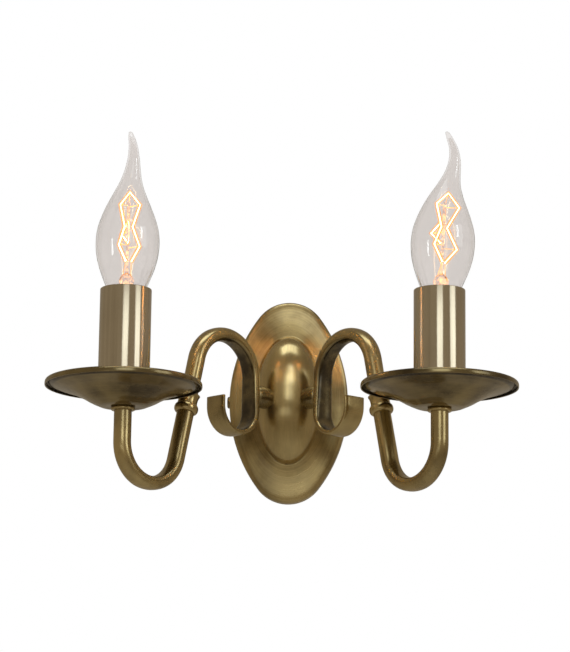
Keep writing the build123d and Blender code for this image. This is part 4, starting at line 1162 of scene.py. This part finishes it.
def bulb_matrix(side, turn):
    """From a bulb's own frame to its tilted place in its cap."""
    seat = Matrix.Translation(lamp_axis(side) + Vector((0, 0, (BULB_BASE + CAP_TOP) * MM)))
    lean = Matrix.Rotation(radians(GLASS_TILT[side]), 4, "Y")
    spin = Matrix.Rotation(radians(turn[side]), 4, "Z")
    return seat @ lean @ spin @ Matrix.Translation((0, 0, -CAP_TOP * MM))


def wire_matrix(side):
    """From the frame of a bulb's stem and wires to their place."""
    return bulb_matrix(side, WIRE_TURN)


class SCONCE_OT_bulbs(bpy.types.Operator):
    """Models the bent-tip glass bulbs"""

    bl_idname = "sconce.bulbs"
    bl_label = "Glass bulbs"

    def execute(self, context):
        outside = [tuple(p) for p in eased(GLASS_STATIONS, 4)]
        inside = [(z, r - min(GLASS_WALL, 0.42 * r), x) for z, r, x in outside if z < CAVITY_END]
        top, narrow, sway = inside[-1]
        rings = [(top + 0.8, 0.3 * narrow, sway - 0.3), (top + 0.6, 0.7 * narrow, sway - 0.2)]
        rings += inside[::-1] + outside + GLASS_TIP
        z, radius, sway = rings[0]
        bulb = begin_ring("glass_bulb", radius * MM, z * MM, 80, sway * MM)
        bpy.ops.mesh.edge_face_add()
        bpy.ops.mesh.select_mode(type="EDGE")
        for next_z, next_radius, next_sway in rings[1:]:
            factor = next_radius / radius
            move = (next_sway - sway) * MM, 0, (next_z - z) * MM
            pull(move, (factor, factor, 1), (next_sway * MM, 0, next_z * MM))
            z, radius, sway = next_z, next_radius, next_sway
        bpy.ops.mesh.edge_face_add()
        end_mesh(bulb, 60.0)
        both_sides(bulb, "glass_bulb", lambda side: bulb_matrix(side, GLASS_TURN),
                   "bulb_glass", clear_finish, "bulb_{}")
        return {"FINISHED"}


class SCONCE_OT_stems(bpy.types.Operator):
    """Models the glass stems with their rods and buttons"""

    bl_idname = "sconce.stems"
    bl_label = "Glass stems"

    def execute(self, context):
        flare = [tuple(p) for p in eased(STEM_OUTLINE, 4)]
        rod = [(0.8, 41.5), (0.8, 78.3), (1.0, 78.7), (1.2, 79.5), (0.95, 80.3), (0.4, 80.68)]
        stem = turned("glass_stem", flare + rod, 40, closed=False, angle=60.0)
        only(stem)
        bpy.ops.object.mode_set(mode="EDIT")
        bpy.ops.mesh.select_all(action="DESELECT")
        bpy.ops.mesh.select_mode(type="VERT")
        bpy.ops.mesh.select_non_manifold()
        bpy.ops.mesh.edge_face_add()
        end_mesh(stem, 60.0)
        both_sides(stem, "glass_stem", wire_matrix, "bulb_stem", lit_finish, "bulb_{}")
        return {"FINISHED"}


def bent_wires(name, radius):
    """Round wires along the corners of the bright wire and of its back run."""
    curve = bpy.data.curves.new(name, "CURVE")
    curve.dimensions = "3D"
    curve.bevel_depth = radius
    curve.bevel_resolution = 4
    curve.use_fill_caps = True
    for corners in (WIRE_CORNERS, BACK_CORNERS):
        spline = curve.splines.new("POLY")
        spline.points.add(len(corners) - 1)
        for point, corner in zip(spline.points, corners):
            point.co = (*(Vector(corner) * MM), 1.0)
    wires = bpy.data.objects.new(name, curve)
    bpy.context.scene.collection.objects.link(wires)
    only(wires)
    bpy.ops.object.convert(target="MESH")
    wires = bpy.context.object
    bpy.ops.object.mode_set(mode="EDIT")
    return end_mesh(wires, 60.0)


def linked(name, pieces):
    """Collection that a light is linked to."""
    collection = bpy.data.collections.new(name)
    for piece in pieces:
        collection.objects.link(piece)
    return collection


class SCONCE_OT_glow(bpy.types.Operator):
    """Models the bright wires and the soft glow round them, and sets the light they give"""

    bl_idname = "sconce.glow"
    bl_label = "Glow"

    def execute(self, context):
        both_sides(bent_wires("bright_wire", sizes().wire_radius), "bright_wire", wire_matrix,
                   "bulb_filament", core_finish, "bulb_{}")
        both_sides(bent_wires("wire_glow", sizes().glow_radius), "wire_glow", wire_matrix,
                   "", halo_finish, "bulb_{}")
        pieces = bpy.data.objects
        bulbs = [pieces[f"glass_bulb_{side}"] for side in SIDES]
        stems = [pieces[f"glass_stem_{side}"] for side in SIDES]
        passed_by = linked("glass that the bulb lights pass by", bulbs + stems)
        for entry in passed_by.collection_objects:
            entry.light_linking.link_state = "EXCLUDE"
        in_glass = linked("glass that its cards show in", bulbs)
        on_dome = linked("dome that its card shows in", [pieces["plate_dome"]])
        for card in pieces:
            if card.name.endswith("for the glass"):
                card.light_linking.receiver_collection = in_glass
            elif card.name.endswith("for the dome"):
                card.light_linking.receiver_collection = on_dome
        for side, other in (("left", "right"), ("right", "left")):
            inside = new_lamp(f"bulb light {side}", "POINT", BULB_LIGHT, BULB_COLOUR)
            inside.data.shadow_soft_size = BULB_LIGHT_RADIUS
            inside.matrix_world = wire_matrix(side) @ Matrix.Translation(BULB_LIGHT_PLACE)
            strip = new_lamp(f"bulb strip {side}", "AREA", STRIP_LIGHT, STRIP_COLOUR, STRIP_SIZE)
            strip.location = lamp_axis(side) + STRIP_PLACE
            point_at(strip, lamp_axis(other) + STRIP_PLACE)
            for light in (inside, strip):
                light.light_linking.receiver_collection = passed_by
                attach(light, f"bulb_{side}")
        return {"FINISHED"}


SCREW_DEPTH = 3.5


def screw_matrix(side):
    """Stands a thumb screw out of the plate's rim."""
    sign = SIDES[side]
    spot = (sign * sizes().plate_half_width, -SCREW_DEPTH * MM, 0)
    return Matrix.Translation(spot) @ Matrix.Rotation(sign * pi / 2, 4, "Y")


class SCONCE_OT_screws(bpy.types.Operator):
    """Models the thumb screws that hold the plate"""

    bl_idname = "sconce.screws"
    bl_label = "Thumb screws"

    def execute(self, context):
        head = [(1.25, -6.2), (1.25, 0.02), (3.0, 0.02), (3.32, 0.2), (3.4, 0.6), (3.4, 1.4), (3.2, 1.95),
                (2.7, 2.3), (1.6, 2.4), (1.2, 2.15), (0.4, 2.1)]
        screw = turned("thumb_screw", [(0.9, -6.4)] + head, 48, closed=False, angle=30.0)
        both_sides(screw, "thumb_screw", screw_matrix,
                   "side_screw", screw_finish, "screw_{}")
        return {"FINISHED"}


# ---- finishes of the pieces that stay as packed ---------------------------------------------
class SCONCE_OT_finishes(bpy.types.Operator):
    """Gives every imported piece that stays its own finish"""

    bl_idname = "sconce.finishes"
    bl_label = "Inner finishes"

    def execute(self, context):
        zinc = metal("zinc plated steel", (0.62, 0.63, 0.64), (0.40, 0.41, 0.43), (0.30, 0.45), 220.0)
        plain = metal("plain brass", (0.72, 0.55, 0.26), (0.50, 0.36, 0.15), (0.22, 0.40), 350.0)
        spring = metal("spring steel", (0.55, 0.55, 0.56), (0.38, 0.38, 0.40), (0.25, 0.35), 400.0)
        cap = metal("cap metal", (0.70, 0.62, 0.44), (0.52, 0.44, 0.28), (0.20, 0.32), 300.0)
        solder = metal("solder", (0.66, 0.66, 0.67), (0.46, 0.46, 0.48), (0.35, 0.50), 500.0)
        nylon = moulded("white nylon", (0.80, 0.80, 0.77), (0.70, 0.70, 0.66))
        black = moulded("black moulding", (0.030, 0.029, 0.028), (0.016, 0.016, 0.016), (0.28, 0.45))
        vitrite = moulded("black glass", (0.022, 0.020, 0.024), (0.010, 0.010, 0.012), (0.12, 0.22))
        live = moulded("brown sheath", (0.150, 0.062, 0.028), (0.105, 0.042, 0.020))
        neutral = moulded("blue sheath", (0.035, 0.110, 0.420), (0.025, 0.080, 0.330))
        earth = moulded("green and yellow sheath", (0.62, 0.58, 0.04), (0.05, 0.30, 0.06),
                        (0.35, 0.5), 140.0)
        # The support wires glow orange: painted light standing in for the lamp's light on them.
        wires = glowing("support wire painted glow", (1.0, 0.34, 0.05), 1.5)
        starts = {
            "wall_bracket": zinc, "terminal_block": nylon, "terminal_tubes": plain,
            "terminal_screws": zinc, "block_screw": zinc, "earth_screw": plain, "earth_lead": earth,
            "nipple_saddles": zinc, "nipple_nuts": plain, "pan_nuts": plain, "arm_nipple": plain,
            "holder_base": black,
            "holder_body": black, "holder_shell": plain, "holder_contact": spring, "bulb_supports": wires,
            "bulb_cap": cap, "bulb_insulator": vitrite, "bulb_contact": solder,
            "live_lead": live, "neutral_lead": neutral,
        }
        for name, node in frame["nodes"].items():
            if node.hide_render:
                continue
            finish = starts.get(name) or starts.get(name.rsplit("_", 1)[0])
            if finish is None:
                raise RuntimeError(f"no finish for {name}")
            for slot in node.material_slots:
                slot.material = finish
        return {"FINISHED"}


STEPS = [
    SCONCE_OT_stage, SCONCE_OT_plate, SCONCE_OT_arms, SCONCE_OT_collars, SCONCE_OT_bosses,
    SCONCE_OT_pans, SCONCE_OT_rings, SCONCE_OT_sleeves, SCONCE_OT_bulbs, SCONCE_OT_stems,
    SCONCE_OT_glow, SCONCE_OT_screws, SCONCE_OT_finishes,
]


class SCONCE_PT_panel(bpy.types.Panel):
    """Lists the sconce's pieces and their sizes and colours"""

    bl_idname = "SCONCE_PT_panel"
    bl_label = "Wall sconce"
    bl_space_type = "VIEW_3D"
    bl_region_type = "UI"
    bl_category = "Sconce"

    def draw(self, context):
        for group in (context.scene.sconce_sizes, context.scene.sconce_colours):
            column = self.layout.column(align=True)
            for key in group.__annotations__:
                column.prop(group, key)
        for step in STEPS:
            self.layout.operator(step.bl_idname)


def register():
    for item in (SconceSizes, SconceColours, *STEPS, SCONCE_PT_panel):
        bpy.utils.register_class(item)
    bpy.types.Scene.sconce_sizes = PointerProperty(type=SconceSizes)
    bpy.types.Scene.sconce_colours = PointerProperty(type=SconceColours)


def unregister():
    del bpy.types.Scene.sconce_colours
    del bpy.types.Scene.sconce_sizes
    for item in (SCONCE_PT_panel, *reversed(STEPS), SconceColours, SconceSizes):
        bpy.utils.unregister_class(item)


def main():
    register()
    for step in STEPS:
        area, action = step.bl_idname.split(".")
        getattr(getattr(bpy.ops, area), action)()


if __name__ == "__main__":
    main()
